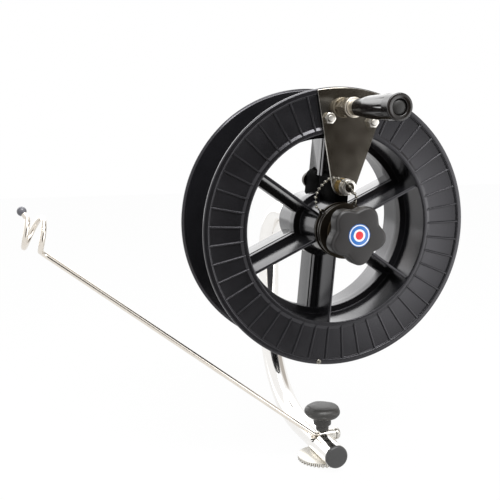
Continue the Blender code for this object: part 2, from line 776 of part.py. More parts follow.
def crank_outline():
    """Tangents from the round tip out to the rim, closed by an arc that follows the rim."""
    reach = FLANGE_RADIUS - EDGE_CHAMFER
    corner = asin(CRANK_HALF_WIDTH / reach)
    corner_x, corner_y = CRANK_HALF_WIDTH, reach * cos(corner)
    tip_place = CRANK_TIP_PLACE + CRANK_TIP_OFFSET
    slope = atan2(corner_x, corner_y - tip_place)
    span = hypot(corner_x, corner_y - tip_place)
    lean = slope - asin(CRANK_TIP_RADIUS / span)
    points = [(CRANK_TIP_RADIUS * cos(a), tip_place - CRANK_TIP_RADIUS * sin(a))
              for a in [lean + (pi - 2 * lean) * i / 14 for i in range(15)]]
    rounded = corner * (1 - EDGE_CHAMFER / CRANK_HALF_WIDTH)
    top = [pi / 2 + rounded - 2 * rounded * i / 14 for i in range(15)]
    points += [(reach * cos(a), reach * sin(a)) for a in top]
    return points


def make_crank(frame):
    low = HALF_WIDTH + GAP
    high = low + CRANK_SHEET
    plate = prism("crank_plate", crank_outline(), low, high, brushed_steel(), frame)
    holes = [(CRANK_BOLT_PLACE, -CRANK_BOLT_SPREAD, CRANK_BOLT_RADIUS),
             (CRANK_BOLT_PLACE, CRANK_BOLT_SPREAD, CRANK_BOLT_RADIUS),
             (CRANK_TIP_PLACE, 0, TIP_BOLT_RADIUS)]
    for along, aside, radius in holes:
        cut(plate, cutter("plate hole", aside, along, radius + BOLT_CLEARANCE, low - OVERRUN,
                          high + OVERRUN, frame))
    hole_radius = HANDLE_BOLT_RADIUS + BOLT_CLEARANCE
    sink = turned("handle sink", [
        (0, low - OVERRUN), (HANDLE_SINK_RADIUS + BOLT_CLEARANCE, low - OVERRUN),
        (HANDLE_SINK_RADIUS + BOLT_CLEARANCE, low), (hole_radius, low + HANDLE_SINK_DEPTH),
        (hole_radius, high + OVERRUN), (0, high + OVERRUN)], SHAFT_SIDES, None, frame)
    cut(plate, placed(sink, HANDLE_ASIDE, HANDLE_PLACE))
    seat = high + GAP
    for word, aside in (("left", -CRANK_BOLT_SPREAD), ("right", CRANK_BOLT_SPREAD)):
        make_crank_bolt(word, aside, CRANK_BOLT_PLACE, seat, frame)
    return seat


def placed(made, x, y):
    made.location = (x, y, 0)
    return made


def nut(name, flats, bore, low, height, x, y, frame):
    """Hexagon nut with chamfered corners."""
    made = prism(name, hexagon(flats), low, low + height, polished_steel(), frame)
    corner = flats / 2 / cos(pi / 6)
    bevel = (corner - flats / 2) * 0.9
    round_off = turned(name + " chamfer", [
        (0, low - OVERRUN), (flats / 2, low - OVERRUN),
        (corner + bevel, low + bevel), (corner + bevel, low + height - bevel / 2),
        (flats / 2, low + height + bevel / 4), (0, low + height + bevel / 4)],
        SHAFT_SIDES, None, frame)
    hole = cutter(name + " bore", 0, 0, bore, low - 2 * OVERRUN, low + height + OVERRUN, frame)
    combine(made, round_off, "INTERSECT")
    cut(made, hole)
    for piece in (made, round_off, hole):
        placed(piece, x, y)
    return made


def make_crank_bolt(word, x, y, seat, frame):
    """Domed bolt put in from between the flanges, with its nut on the crank plate."""
    head_face = HALF_WIDTH - FLANGE_THICKNESS - GAP
    end = seat + CRANK_NUT_HEIGHT + BOLT_PROUD
    outline = [
        (0, head_face - CRANK_BOLT_HEAD_HEIGHT),
        (CRANK_BOLT_HEAD_RADIUS * 0.6, head_face - CRANK_BOLT_HEAD_HEIGHT * 0.85),
        (CRANK_BOLT_HEAD_RADIUS, head_face - CRANK_BOLT_HEAD_HEIGHT * 0.2),
        (CRANK_BOLT_HEAD_RADIUS, head_face),
        (CRANK_BOLT_RADIUS, head_face),
        (CRANK_BOLT_RADIUS, end - BOLT_PROUD / 2),
        (CRANK_BOLT_RADIUS * 0.6, end),
        (0, end),
    ]
    placed(turned("crank_bolt_" + word, outline, BOLT_SIDES, polished_steel(), frame), x, y)
    nut("crank_nut_" + word, CRANK_NUT_FLATS, CRANK_BOLT_RADIUS + GAP, seat,
        CRANK_NUT_HEIGHT, x, y, frame)


def make_tip_bolt(frame, seat):
    """Long bolt through both halves near the hub, with its spacers, a washer and a nut."""
    x, y = 0, CRANK_TIP_PLACE
    boss_face = -(HALF_WIDTH - REAR_BOSS_SETBACK) - GAP
    placed(washer("tip_rear_spacer", TIP_CUP_RADIUS, TIP_BOLT_RADIUS + GAP,
                  boss_face - TIP_CUP_LENGTH, boss_face, SHAFT_SIDES, polished_steel(), frame),
           x, y)
    rear_face = boss_face - TIP_CUP_LENGTH - GAP
    spacer_high = seat + TIP_SPACER_LENGTH
    washer_low = spacer_high + GAP
    nut_low = washer_low + TIP_WASHER_THICKNESS + GAP
    end = nut_low + TIP_NUT_HEIGHT + BOLT_PROUD
    outline = [
        (0, rear_face - TIP_BOLT_HEAD_HEIGHT),
        (TIP_BOLT_HEAD_RADIUS - EDGE_CHAMFER, rear_face - TIP_BOLT_HEAD_HEIGHT),
        (TIP_BOLT_HEAD_RADIUS, rear_face - TIP_BOLT_HEAD_HEIGHT + EDGE_CHAMFER),
        (TIP_BOLT_HEAD_RADIUS, rear_face),
        (TIP_BOLT_RADIUS, rear_face),
        (TIP_BOLT_RADIUS, end - BOLT_PROUD / 2),
        (TIP_BOLT_RADIUS * 0.7, end),
        (0, end),
    ]
    placed(turned("tip_bolt", outline, SHAFT_SIDES, polished_steel(), frame), x, y)
    placed(washer("tip_spacer", TIP_SPACER_RADIUS, TIP_BOLT_RADIUS + GAP, seat, spacer_high,
                  SHAFT_SIDES, polished_steel(), frame), x, y)
    placed(washer("tip_washer", TIP_WASHER_RADIUS, TIP_BOLT_RADIUS + GAP, washer_low,
                  washer_low + TIP_WASHER_THICKNESS, SHAFT_SIDES, polished_steel(), frame), x, y)
    nut("tip_nut", TIP_NUT_FLATS, TIP_BOLT_RADIUS + GAP, nut_low, TIP_NUT_HEIGHT, x, y, frame)
    return end


def grip_layers(low):
    """(radius, height) down the grip: neck, swelling body and the end band."""
    high = low + GRIP_LENGTH
    swell = low + GRIP_LENGTH * GRIP_NECK_SHARE
    return [
        (GRIP_NECK_RADIUS, low),
        (GRIP_NECK_RADIUS * 1.02, low + GRIP_LENGTH * 0.06),
        (GRIP_WAIST_RADIUS, swell),
        (GRIP_END_RADIUS, high - GRIP_BAND_LENGTH),
        (GRIP_END_RADIUS, high - EDGE_CHAMFER),
        (GRIP_END_RADIUS - EDGE_CHAMFER, high),
    ]


def make_handle(frame, plate_low, seat):
    """Handle bolt held by a nut on the plate, a ferrule and the grip that turns on it."""
    x, y = HANDLE_ASIDE, HANDLE_PLACE
    ferrule_low = seat + HANDLE_NUT_HEIGHT + GAP
    neck_low = ferrule_low + HANDLE_FERRULE_LENGTH
    grip_low = neck_low + HANDLE_NECK_LENGTH + GAP
    grip_high = grip_low + GRIP_LENGTH
    cap_seat = grip_high - GRIP_CAP_RECESS
    bolt_end = cap_seat - GRIP_CAP_HEIGHT - GAP
    outline = [
        (0, plate_low),
        (HANDLE_SINK_RADIUS, plate_low),
        (HANDLE_BOLT_RADIUS, plate_low + HANDLE_SINK_DEPTH),
        (HANDLE_BOLT_RADIUS, bolt_end - EDGE_CHAMFER / 2),
        (HANDLE_BOLT_RADIUS - EDGE_CHAMFER / 2, bolt_end),
        (0, bolt_end),
    ]
    placed(turned("handle_bolt", outline, BOLT_SIDES, polished_steel(), frame), x, y)
    nut("handle_nut", HANDLE_NUT_FLATS, HANDLE_BOLT_RADIUS + GAP, seat, HANDLE_NUT_HEIGHT,
        x, y, frame)
    placed(turned("handle_ferrule", [
        (HANDLE_FERRULE_RADIUS - EDGE_CHAMFER, ferrule_low),
        (HANDLE_FERRULE_RADIUS, ferrule_low + EDGE_CHAMFER),
        (HANDLE_FERRULE_RADIUS, neck_low - EDGE_CHAMFER),
        (HANDLE_FERRULE_RADIUS - EDGE_CHAMFER, neck_low),
        (HANDLE_NECK_RADIUS, neck_low),
        (HANDLE_NECK_RADIUS, neck_low + HANDLE_NECK_LENGTH),
        (HANDLE_BOLT_RADIUS + GAP, neck_low + HANDLE_NECK_LENGTH),
        (HANDLE_BOLT_RADIUS + GAP, ferrule_low)],
        SHAFT_SIDES, polished_steel(), frame), x, y)
    axis = empty("grip axis", (0, 0, 0))
    axis.parent = frame
    axis.location = (x, y, 0)
    make_grip(axis, grip_low, grip_high, cap_seat, bolt_end)


def make_grip(axis, low, high, cap_seat, bolt_end):
    """Hollow moulded grip with flutes cut along it, closed by a press-in cap."""
    profile = [(0, low)] + grip_layers(low) + [(0, high)]
    grip = turned("grip", profile, DISC_SIDES, black_plastic(), axis)
    flutes = bmesh.new()
    flute_low = low + GRIP_LENGTH * GRIP_NECK_SHARE / 2
    flute_high = high - GRIP_BAND_LENGTH + EDGE_CHAMFER
    reach = GRIP_END_RADIUS + OVERRUN - GRIP_FLUTE_DEPTH
    for i in range(GRIP_FLUTES):
        turn = Matrix.Rotation((2 * i + GRIP_FLUTE_TURN_SHARE) * pi / GRIP_FLUTES, 3, "Z")
        ring = [Vector((reach + OVERRUN * cos(a), OVERRUN * sin(a), 0))
                for a in [pi / 4 + 2 * pi * j / 8 for j in range(8)]]
        base = [flutes.verts.new(turn @ (p + Vector((0, 0, flute_low)))) for p in ring]
        top = [flutes.verts.new(turn @ (p + Vector((0, 0, flute_high)))) for p in ring]
        flutes.faces.new(base)
        flutes.faces.new(top)
        for j in range(8):
            flutes.faces.new((base[j], base[(j + 1) % 8], top[(j + 1) % 8], top[j]))
    flute_tool = finish("grip flutes", flutes, None, axis)
    bore = cutter("grip bore", 0, 0, HANDLE_BOLT_RADIUS + GAP, low - OVERRUN,
                  bolt_end + GAP, axis)
    pocket = cutter("grip cap pocket", 0, 0, GRIP_CAP_RADIUS + GAP,
                    cap_seat - GRIP_CAP_HEIGHT - GAP, high + OVERRUN, axis, SHAFT_SIDES)
    cut(grip, flute_tool, bore, pocket)
    cap_low = cap_seat - GRIP_CAP_HEIGHT
    turned("grip_cap", [
        (0, cap_low), (GRIP_CAP_RADIUS, cap_low), (GRIP_CAP_RADIUS, cap_seat - EDGE_CHAMFER / 2),
        (GRIP_CAP_RADIUS - EDGE_CHAMFER / 2, cap_seat), (0, cap_seat)],
        SHAFT_SIDES, soft_black(), axis)


def make_rim_screw(frame):
    reach = FLANGE_RADIUS - RIM_WIDTH / 2
    head = HALF_WIDTH + GAP
    outline = [
        (0, HALF_WIDTH - FLANGE_THICKNESS),
        (RIM_SCREW_RADIUS, HALF_WIDTH - FLANGE_THICKNESS),
        (RIM_SCREW_RADIUS, head),
        (RIM_SCREW_HEAD_RADIUS, head),
        (RIM_SCREW_HEAD_RADIUS, head + RIM_SCREW_HEAD_HEIGHT / 2),
        (RIM_SCREW_HEAD_RADIUS * 0.6, head + RIM_SCREW_HEAD_HEIGHT),
        (0, head + RIM_SCREW_HEAD_HEIGHT),
    ]
    screw = turned("rim_screw", outline, BOLT_SIDES, polished_steel(), frame)
    placed(screw, reach * cos(RIM_SCREW_ANGLE), reach * sin(RIM_SCREW_ANGLE))


def ear_eye(angle, height):
    reach = DRAG_DISC_RADIUS + EAR_REACH - EAR_RADIUS
    return Vector((reach * cos(angle), reach * sin(angle), height))


def chain_ring(name, ear_angle, disc_low, frame):
    """Small wire ring through the ear's eye, standing out past the ear."""
    out = Vector((cos(ear_angle), sin(ear_angle), 0))
    up = Vector((0, 0, 1))
    middle = ear_eye(ear_angle, disc_low + DRAG_DISC_THICKNESS / 2)
    centre = middle + out * CHAIN_RING_RADIUS
    shape = bmesh.new()
    rings = []
    for i in range(16):
        turn = 2 * pi * i / 16
        spoke = out * cos(turn) + up * sin(turn)
        place = centre + spoke * CHAIN_RING_RADIUS
        rings.append([
            shape.verts.new(place + CHAIN_RING_WIRE * (spoke * cos(a) + out.cross(up) * sin(a)))
            for a in [2 * pi * j / 6 for j in range(6)]
        ])
    for a, b in zip(rings, rings[1:] + rings[:1]):
        for j in range(6):
            shape.faces.new((a[j], a[(j + 1) % 6], b[(j + 1) % 6], b[j]))
    finish(name, shape, polished_steel(), frame)
    return centre + out * (CHAIN_RING_RADIUS + CHAIN_RING_WIRE + GAP + BEAD_RADIUS)


def make_chain(frame, first, last, nut_end):
    """Ball chain drawn as one wire that swells at every bead."""
    bolt_end = Vector((*crank_place(CRANK_TIP_PLACE), nut_end))
    points = [first] + [bolt_end + Vector(place) for place in CHAIN_ROUTE]
    points.append(last)
    beads = spaced(smooth_route(points, 12), BEAD_PITCH)
    route, shares = [], []
    link = BEAD_LINK_RADIUS / BEAD_RADIUS
    for here, there in zip(beads, beads[1:]):
        way = (there - here).normalized()
        for along, share in ((-1.0, link), (-0.72, 0.7), (0.0, 1.0), (0.72, 0.7), (1.0, link)):
            route.append(here + way * along * BEAD_RADIUS)
            shares.append(share)
    sweep("bead_chain", route, BEAD_RADIUS, 6, polished_steel(), frame, shares)


def make_frame_tube(tube_end):
    """One length of tube: spool arm, upper bend, leg, wide lower bend and lower arm."""
    back, up = Vector((0, 1, 0)), Vector((0, 0, 1))
    start = Vector((0, SPOOL_MIDDLE_BACK + tube_end, SPOOL_AXIS_Z))
    top_centre = Vector((0, LEG_BACK - UPPER_BEND_RADIUS, SPOOL_AXIS_Z - UPPER_BEND_RADIUS))
    low_centre = Vector((0, LEG_BACK - LOWER_BEND_RADIUS, ARM_AXIS_Z + LOWER_BEND_RADIUS))
    route = [start]
    route += arc(top_centre, UPPER_BEND_RADIUS, pi / 2, 0, BEND_STEPS, back, up)
    route += arc(low_centre, LOWER_BEND_RADIUS, 0, -pi / 2, BEND_STEPS * 3 // 2, back, up)
    route.append(Vector((0, -ARM_REACH, ARM_AXIS_Z)))
    tube = sweep("frame_tube", route, TUBE_RADIUS, SHAFT_SIDES, polished_steel())
    front_on = Matrix.Rotation(pi / 2, 4, "X")
    socket_frame = empty("socket frame", (0, 0, SPOOL_AXIS_Z), front_on)
    socket = cutter("axle socket", 0, 0, AXLE_RADIUS + GAP,
                    -SPOOL_MIDDLE_BACK - tube_end - AXLE_SOCKET_DEPTH - GAP,
                    -SPOOL_MIDDLE_BACK - tube_end + OVERRUN, socket_frame, SHAFT_SIDES)
    plug_frame = empty("plug frame", (0, 0, ARM_AXIS_Z), front_on)
    plug_bore = cutter("plug bore", 0, 0, TUBE_BORE_RADIUS, ARM_REACH - CAP_PLUG_LENGTH - OVERRUN,
                       ARM_REACH + OVERRUN, plug_frame, SHAFT_SIDES)
    cross_on = Matrix.Rotation(pi / 2, 4, "Y")
    cross_frame = empty("cross frame", (0, 0, SLEEVE_AXIS_Z), cross_on)
    notch = cutter("sleeve notch", 0, 0, SLEEVE_RADIUS + GAP, -2 * TUBE_RADIUS, 2 * TUBE_RADIUS,
                   cross_frame, SHAFT_SIDES)
    bolt_bore = cutter("holder bolt bore", 0, 0, DISC_THREAD_RADIUS + GAP, 0,
                       DISC_THICKNESS + GAP + DISC_BORE_RISE, None)
    cut(tube, socket, plug_bore, notch, bolt_bore)


def make_end_cap():
    """Push-in plug that closes the lower arm."""
    frame = empty("end cap axis", (0, 0, ARM_AXIS_Z), Matrix.Rotation(pi / 2, 4, "X"))
    face = ARM_REACH + GAP
    outline = [
        (0, ARM_REACH - CAP_PLUG_LENGTH),
        (TUBE_BORE_RADIUS - GAP, ARM_REACH - CAP_PLUG_LENGTH),
        (TUBE_BORE_RADIUS - GAP, face),
        (TUBE_RADIUS, face),
        (TUBE_RADIUS, face + CAP_FLANGE - CAP_ROUND),
        (TUBE_RADIUS - CAP_ROUND, face + CAP_FLANGE),
        (0, face + CAP_FLANGE),
    ]
    turned("end_cap", outline, SHAFT_SIDES, soft_black(), frame)


def make_toothed_disc():
    """Mounting disc with face teeth round its underside and a threaded centre hole."""
    outline = [
        (DISC_THREAD_RADIUS, 0), (DISC_RADIUS - DISC_TOOTH_LENGTH, 0), (DISC_RADIUS, 0),
        (DISC_RADIUS, DISC_THICKNESS), (DISC_THREAD_RADIUS, DISC_THICKNESS),
    ]
    shape = turned_shape(outline, 2 * DISC_TEETH)
    for vert in shape.verts:
        radius = hypot(vert.co.x, vert.co.y)
        step = round(atan2(vert.co.y, vert.co.x) / (pi / DISC_TEETH))
        if step % 2 and vert.co.z < GAP and radius > DISC_RADIUS - GAP:
            vert.co.z = DISC_TOOTH_DEPTH
            vert.co.x *= 1 - DISC_TOOTH_DEPTH / DISC_RADIUS / 2
            vert.co.y *= 1 - DISC_TOOTH_DEPTH / DISC_RADIUS / 2
    return finish("toothed_disc", shape, polished_steel(), None, radians(20))


def make_sleeve():
    """Cross sleeve let into the top of the arm, with the clamp screw's hole in its crown."""
    frame = empty("sleeve axis", (0, 0, SLEEVE_AXIS_Z), Matrix.Rotation(pi / 2, 4, "Y"))
    sleeve = washer("guide_sleeve", SLEEVE_RADIUS, WIRE_RADIUS + WIRE_CLEARANCE, -SLEEVE_LEFT,
                    SLEEVE_RIGHT, SHAFT_SIDES, polished_steel(), frame)
    hole = cutter("clamp screw hole", 0, 0, CLAMP_STUD_RADIUS + GAP, SLEEVE_AXIS_Z,
                  SLEEVE_AXIS_Z + SLEEVE_RADIUS + OVERRUN, None)
    cut(sleeve, hole)


def wire_route():
    """Foot inside the sleeve, foot bend, straight rise and the pigtail's turns."""
    left, up, toward = Vector((-1, 0, 0)), Vector((0, 0, 1)), Vector((0, -1, 0))
    foot = Vector((SLEEVE_RIGHT + GAP + END_NUT_LENGTH / 2, 0, SLEEVE_AXIS_Z))
    bend_start = Vector((-SLEEVE_LEFT - GAP, 0, SLEEVE_AXIS_Z))
    centre = bend_start + up * WIRE_FOOT_BEND
    route = [foot]
    route += arc(centre, WIRE_FOOT_BEND, 0, WIRE_RISE_ANGLE, 4, -up, left)
    rise = left * cos(WIRE_RISE_ANGLE) + up * sin(WIRE_RISE_ANGLE)
    corner = route[-1] + rise * WIRE_STRAIGHT
    axis = left * cos(PIGTAIL_TILT_ANGLE) + up * sin(PIGTAIL_TILT_ANGLE)
    down = (axis.cross(toward)).normalized()
    if down.z > 0:
        down = -down
    coil_centre = corner - down * PIGTAIL_RADIUS + axis * PIGTAIL_SET

    def coil(turn):
        spoke = down * cos(turn) + toward * sin(turn)
        return coil_centre + spoke * PIGTAIL_RADIUS + axis * PIGTAIL_PITCH * turn / (2 * pi)

    entry = corner - rise * PIGTAIL_CORNER
    joint = coil(PIGTAIL_LEAD_ANGLE)
    for i in range(6):
        t = i / 6
        route.append(entry * (1 - t) ** 2 + corner * 2 * t * (1 - t) + joint * t**2)
    count = 30
    last = 2 * pi * PIGTAIL_TURNS
    turns = [PIGTAIL_LEAD_ANGLE + (last - PIGTAIL_LEAD_ANGLE) * i / count for i in range(count + 1)]
    route += [coil(turn) for turn in turns]
    tail = (route[-1] - route[-2]).normalized() + axis * PIGTAIL_TAIL_LEAN
    route.append(route[-1] + tail.normalized() * PIGTAIL_TAIL)
    return route


def make_guide():
    """Stainless wire guide that swings in the sleeve, with its end nut and tip ball."""
    route = wire_route()
    sweep("guide_wire", route, WIRE_RADIUS, 8, polished_steel())
    nut_frame = empty("end nut axis", (SLEEVE_RIGHT + GAP, 0, SLEEVE_AXIS_Z),
                      Matrix.Rotation(pi / 2, 4, "Y"))
    dome = [(END_NUT_RADIUS * cos(a), END_NUT_LENGTH * 0.35 + END_NUT_LENGTH * 0.65 * sin(a))
            for a in [pi / 2 * i / 3 for i in range(4)]]
    end_nut = turned("guide_end_nut", [(0, 0), (END_NUT_RADIUS, 0)] + dome[:-1]
                     + [(0, END_NUT_LENGTH)], SHAFT_SIDES, polished_steel(), nut_frame)
    cut(end_nut, cutter("end nut bore", 0, 0, WIRE_RADIUS + GAP, -OVERRUN,
                        END_NUT_LENGTH / 2 + GAP, nut_frame))
    way = (route[-1] - route[-2]).normalized()
    depth = TIP_BALL_RADIUS * TIP_BALL_DEPTH_SHARE
    ball_turn = way.to_track_quat("Z", "Y").to_matrix().to_4x4()
    ball_frame = empty("tip ball axis", route[-1] + way * (TIP_BALL_RADIUS - depth), ball_turn)
    ball = [(TIP_BALL_RADIUS * sin(a), -TIP_BALL_RADIUS * cos(a))
            for a in [pi * i / 8 for i in range(1, 8)]]
    ball_outline = [(0, -TIP_BALL_RADIUS)] + ball + [(0, TIP_BALL_RADIUS)]
    tip = turned("guide_tip_ball", ball_outline, BOLT_SIDES, soft_black(), ball_frame)
    cut(tip, cutter("tip ball bore", 0, 0, WIRE_RADIUS + GAP, -2 * TIP_BALL_RADIUS,
                    depth - TIP_BALL_RADIUS + GAP, ball_frame))


def make_clamp():
    """Clamp knob with its threaded stud, and the loose pad that presses on the wire."""
    pad_low = SLEEVE_AXIS_Z + WIRE_RADIUS + CLAMP_PAD_CLEARANCE
    pad_high = pad_low + CLAMP_PAD_THICKNESS
    axis = empty("clamp knob axis", (0, 0, 0))
    pad = [(0, pad_low), (CLAMP_STUD_RADIUS - GAP, pad_low), (CLAMP_STUD_RADIUS - GAP, pad_high),
           (0, pad_high)]
    turned("clamp_pad", pad, BOLT_SIDES, brass(), axis)
    stem_low = SLEEVE_AXIS_Z + SLEEVE_RADIUS + GAP
    skirt_low = stem_low + CLAMP_KNOB_STEM_HEIGHT
    head_low = skirt_low + CLAMP_KNOB_SKIRT_HEIGHT
    top = head_low + CLAMP_KNOB_HEIGHT
    outline = lobed_outline(CLAMP_KNOB_RADIUS, CLAMP_KNOB_VALLEY, CLAMP_KNOB_LOBES, pi / 2, 6)
    shoulder = CLAMP_KNOB_RADIUS - CLAMP_KNOB_SKIRT_RADIUS
    layers = [
        (shoulder * 0.92, head_low),
        (shoulder * 0.38, head_low + CLAMP_KNOB_HEIGHT * 0.14),
        (shoulder * 0.08, head_low + CLAMP_KNOB_HEIGHT * 0.36),
        (0, head_low + CLAMP_KNOB_HEIGHT * 0.55),
        (shoulder * 0.10, head_low + CLAMP_KNOB_HEIGHT * 0.76),
        (shoulder * 0.36, head_low + CLAMP_KNOB_HEIGHT * 0.92),
        (shoulder * 0.85, top),
    ]
    knob = layered("clamp_knob", outline, layers, soft_black(), axis)
    overlap = CLAMP_KNOB_HEIGHT * 0.3
    stem = turned("clamp knob stem", [
        (0, stem_low), (CLAMP_KNOB_STEM_RADIUS, stem_low), (CLAMP_KNOB_STEM_RADIUS, skirt_low),
        (CLAMP_KNOB_SKIRT_RADIUS - EDGE_CHAMFER, skirt_low),
        (CLAMP_KNOB_SKIRT_RADIUS, skirt_low + EDGE_CHAMFER),
        (CLAMP_KNOB_SKIRT_RADIUS, head_low + overlap), (0, head_low + overlap)],
        SHAFT_SIDES, None, axis)
    join(knob, stem)
    stud_low = pad_high + GAP
    stud_high = skirt_low + CLAMP_KNOB_SKIRT_HEIGHT
    cut(knob, cutter("stud socket", 0, 0, CLAMP_STUD_RADIUS + GAP, stem_low - OVERRUN,
                     stud_high + GAP, axis))
    stud = [(0, stud_low), (CLAMP_STUD_RADIUS, stud_low), (CLAMP_STUD_RADIUS, stud_high),
            (0, stud_high)]
    turned("clamp_stud", stud, BOLT_SIDES, polished_steel(), axis)


def build():
    clear_scene()
    tube_end = HALF_WIDTH + BUSH_FLANGE + COLLAR_THICKNESS + 3 * GAP
    spool_frame = empty("spool axis", (0, SPOOL_MIDDLE_BACK, SPOOL_AXIS_Z),
                        Matrix.Rotation(pi / 2, 4, "X"))
    crank_line = empty("crank line", (0, 0, 0), Matrix.Rotation(-CRANK_ANGLE, 4, "Z"))
    crank_line.parent = spool_frame
    make_spool(crank_line)
    make_bushes(spool_frame)
    thread_step, knob_low = make_drag(spool_frame)
    make_star_knob(spool_frame, knob_low)
    make_axle(spool_frame, -tube_end, thread_step, knob_low)
    seat = make_crank(crank_line)
    nut_end = make_tip_bolt(crank_line, seat)
    make_handle(crank_line, HALF_WIDTH + GAP, seat)
    make_rim_screw(crank_line)
    inner_low = HALF_WIDTH + 2 * GAP + BUSH_FLANGE
    outer_low = inner_low + 2 * (DRAG_DISC_THICKNESS + LINING_THICKNESS + 2 * GAP)
    first = chain_ring("chain_ring_rear", REAR_EAR_ANGLE, inner_low, spool_frame)
    last = chain_ring("chain_ring_front", FRONT_EAR_ANGLE, outer_low, spool_frame)
    make_chain(spool_frame, first, last, nut_end)
    make_frame_tube(tube_end)
    make_end_cap()
    make_toothed_disc()
    make_sleeve()
    make_guide()
    make_clamp()


build()
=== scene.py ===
"""The looks of the trolling reel: fine pieces that stand for the CAD nodes, their materials,
the studio and the camera. Meshes are written in millimetres and scaled when they are dressed."""

from math import asin, atan2, cos, hypot, pi, radians, sin, sqrt, tan

import bmesh
import bpy
from mathutils import Matrix, Vector


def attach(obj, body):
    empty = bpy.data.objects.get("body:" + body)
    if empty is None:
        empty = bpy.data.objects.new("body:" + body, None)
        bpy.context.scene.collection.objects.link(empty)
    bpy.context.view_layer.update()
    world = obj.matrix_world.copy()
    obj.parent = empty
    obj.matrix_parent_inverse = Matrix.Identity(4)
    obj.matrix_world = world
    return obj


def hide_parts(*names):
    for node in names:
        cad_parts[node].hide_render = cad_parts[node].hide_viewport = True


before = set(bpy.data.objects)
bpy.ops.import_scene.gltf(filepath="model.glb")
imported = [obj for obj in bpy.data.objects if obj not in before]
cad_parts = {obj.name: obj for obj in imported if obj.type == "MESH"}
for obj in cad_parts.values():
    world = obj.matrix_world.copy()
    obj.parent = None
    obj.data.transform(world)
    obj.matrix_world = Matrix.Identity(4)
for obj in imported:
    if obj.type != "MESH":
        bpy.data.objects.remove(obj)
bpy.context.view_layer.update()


# Frame tube. The real one is a length of 25 mm stainless tube, bent cold on round formers and
# buffed bright, so it mirrors the white studio and shows long soft dark lines along its bends.
# Its top is notched for the cross sleeve, and its end is open for the cap's plug.

MM = 0.001
GAP = 0.3  # the room between two neighbouring pieces
TUBE_RADIUS = 12.5
TUBE_LEG_BACK, TUBE_SPOOL_HEIGHT, TUBE_ARM_HEIGHT = 178.8, 256.7, 17.8
TUBE_UPPER_BEND, TUBE_LOWER_BEND = 58.0, 115.0
TUBE_SPOOL_END, TUBE_ARM_END = 64.05, -38.5
SLEEVE_HEIGHT, SLEEVE_RADIUS, NOTCH_REACH = 27.3, 6.0, 20.0
PLUG_RADIUS, PLUG_LENGTH, BORE_OVERRUN = 10.7, 12.0, 2.0


def srgb(code):
    """A hex colour as the linear values that a shader takes."""
    shares = [int(code[i:i + 2], 16) / 255 for i in (1, 3, 5)]
    return (*[c / 12.92 if c <= 0.04045 else ((c + 0.055) / 1.055) ** 2.4 for c in shares], 1)


def result(node):
    """The output of a node that its settings put to use."""
    return next(socket for socket in node.outputs if socket.enabled)


def add(tree, kind, values=None, **settings):
    """Adds a shader node. A value that is another node, or its output, is linked to the input."""
    made = tree.nodes.new("ShaderNode" + kind)
    for name, setting in settings.items():
        setattr(made, name, setting)
    for name, value in (values or {}).items():
        value = result(value) if isinstance(value, bpy.types.Node) else value
        if isinstance(value, bpy.types.NodeSocket):
            tree.links.new(value, made.inputs[name])
        else:
            made.inputs[name].default_value = value
    return made


def new_material(name):
    """An empty node material, with its shader tree, Principled shader and object coordinates."""
    made = bpy.data.materials.new(name)
    made.use_nodes = True
    tree = made.node_tree
    return made, tree, tree.nodes["Principled BSDF"], add(tree, "TexCoord").outputs["Object"]


def surface(tree, shader, colour, roughness, height, relief):
    """Links a material's colour, roughness and relief in mm to its Principled shader."""
    bump = add(tree, "Bump", {"Height": height, "Strength": 1, "Distance": relief * MM})
    for name, node in (("Base Color", colour), ("Roughness", roughness), ("Normal", bump)):
        tree.links.new(result(node), shader.inputs[name])


def steel(name, tint, roughness, grain=(0.35, 0.35, 0.35), relief=0.004, wear=0.05, dulled=0.82):
    """Worked metal. The grain is the size of its fine marks in mm along X, Y and Z, coarser than
    the real ones so that they show. The relief is their height in mm, wear is how far the
    roughness wanders, and dulled is how dark the smears on it are."""
    made, tree, shader, place = new_material(name)
    stretched = add(tree, "Mapping", {"Vector": place, "Scale": [1 / (g * MM) for g in grain]})
    marks = add(tree, "TexNoise", {"Vector": stretched, "Scale": 1, "Detail": 3})
    smears = add(tree, "TexNoise", {"Vector": place, "Scale": 1 / (14 * MM), "Detail": 4})
    rough = add(tree, "MapRange", {"Value": smears, "From Min": 0.3, "From Max": 0.7,
        "To Min": roughness, "To Max": roughness + wear})
    both = add(tree, "Math", {0: marks, 1: wear, 2: rough}, operation="MULTIPLY_ADD")
    dull = [c * dulled for c in srgb(tint)[:3]] + [1]
    colour = add(tree, "Mix", {0: smears, 6: srgb(tint), 7: dull}, data_type="RGBA")
    shader.inputs["Metallic"].default_value = 1
    surface(tree, shader, colour, both, marks, relief)
    return made


# Mirror-bright, with faint smears of the buffing wheel that soften parts of the reflection.
polished_tube = steel("buffed stainless tube", "#f8f6f3", 0.08, relief=0.0001, wear=0.03,
    dulled=0.93)


def swept(route, radius, sides, closed=False):
    """A round bar along a route of points; radius may be a list, one for each point."""
    shape = bmesh.new()
    radii = radius if isinstance(radius, list) else [radius] * len(route)
    count = len(route)
    side = None
    rings = []
    for i, place in enumerate(route):
        before = route[i - 1] if i or closed else place
        after = route[(i + 1) % count] if i < count - 1 or closed else place
        way = (after - before).normalized()
        side = way.orthogonal() if side is None else side
        side = (side - way * side.dot(way)).normalized()
        other = way.cross(side)
        turns = [2 * pi * j / sides for j in range(sides)]
        rings.append([shape.verts.new(place + radii[i] * (side * cos(a) + other * sin(a)))
            for a in turns])
    pairs = list(zip(rings, rings[1:])) + ([(rings[-1], rings[0])] if closed else [])
    for low, high in pairs:
        for j in range(sides):
            shape.faces.new((low[j], low[(j + 1) % sides], high[(j + 1) % sides], high[j]))
    if not closed:
        shape.faces.new(rings[0][::-1])
        shape.faces.new(rings[-1])
    return shape


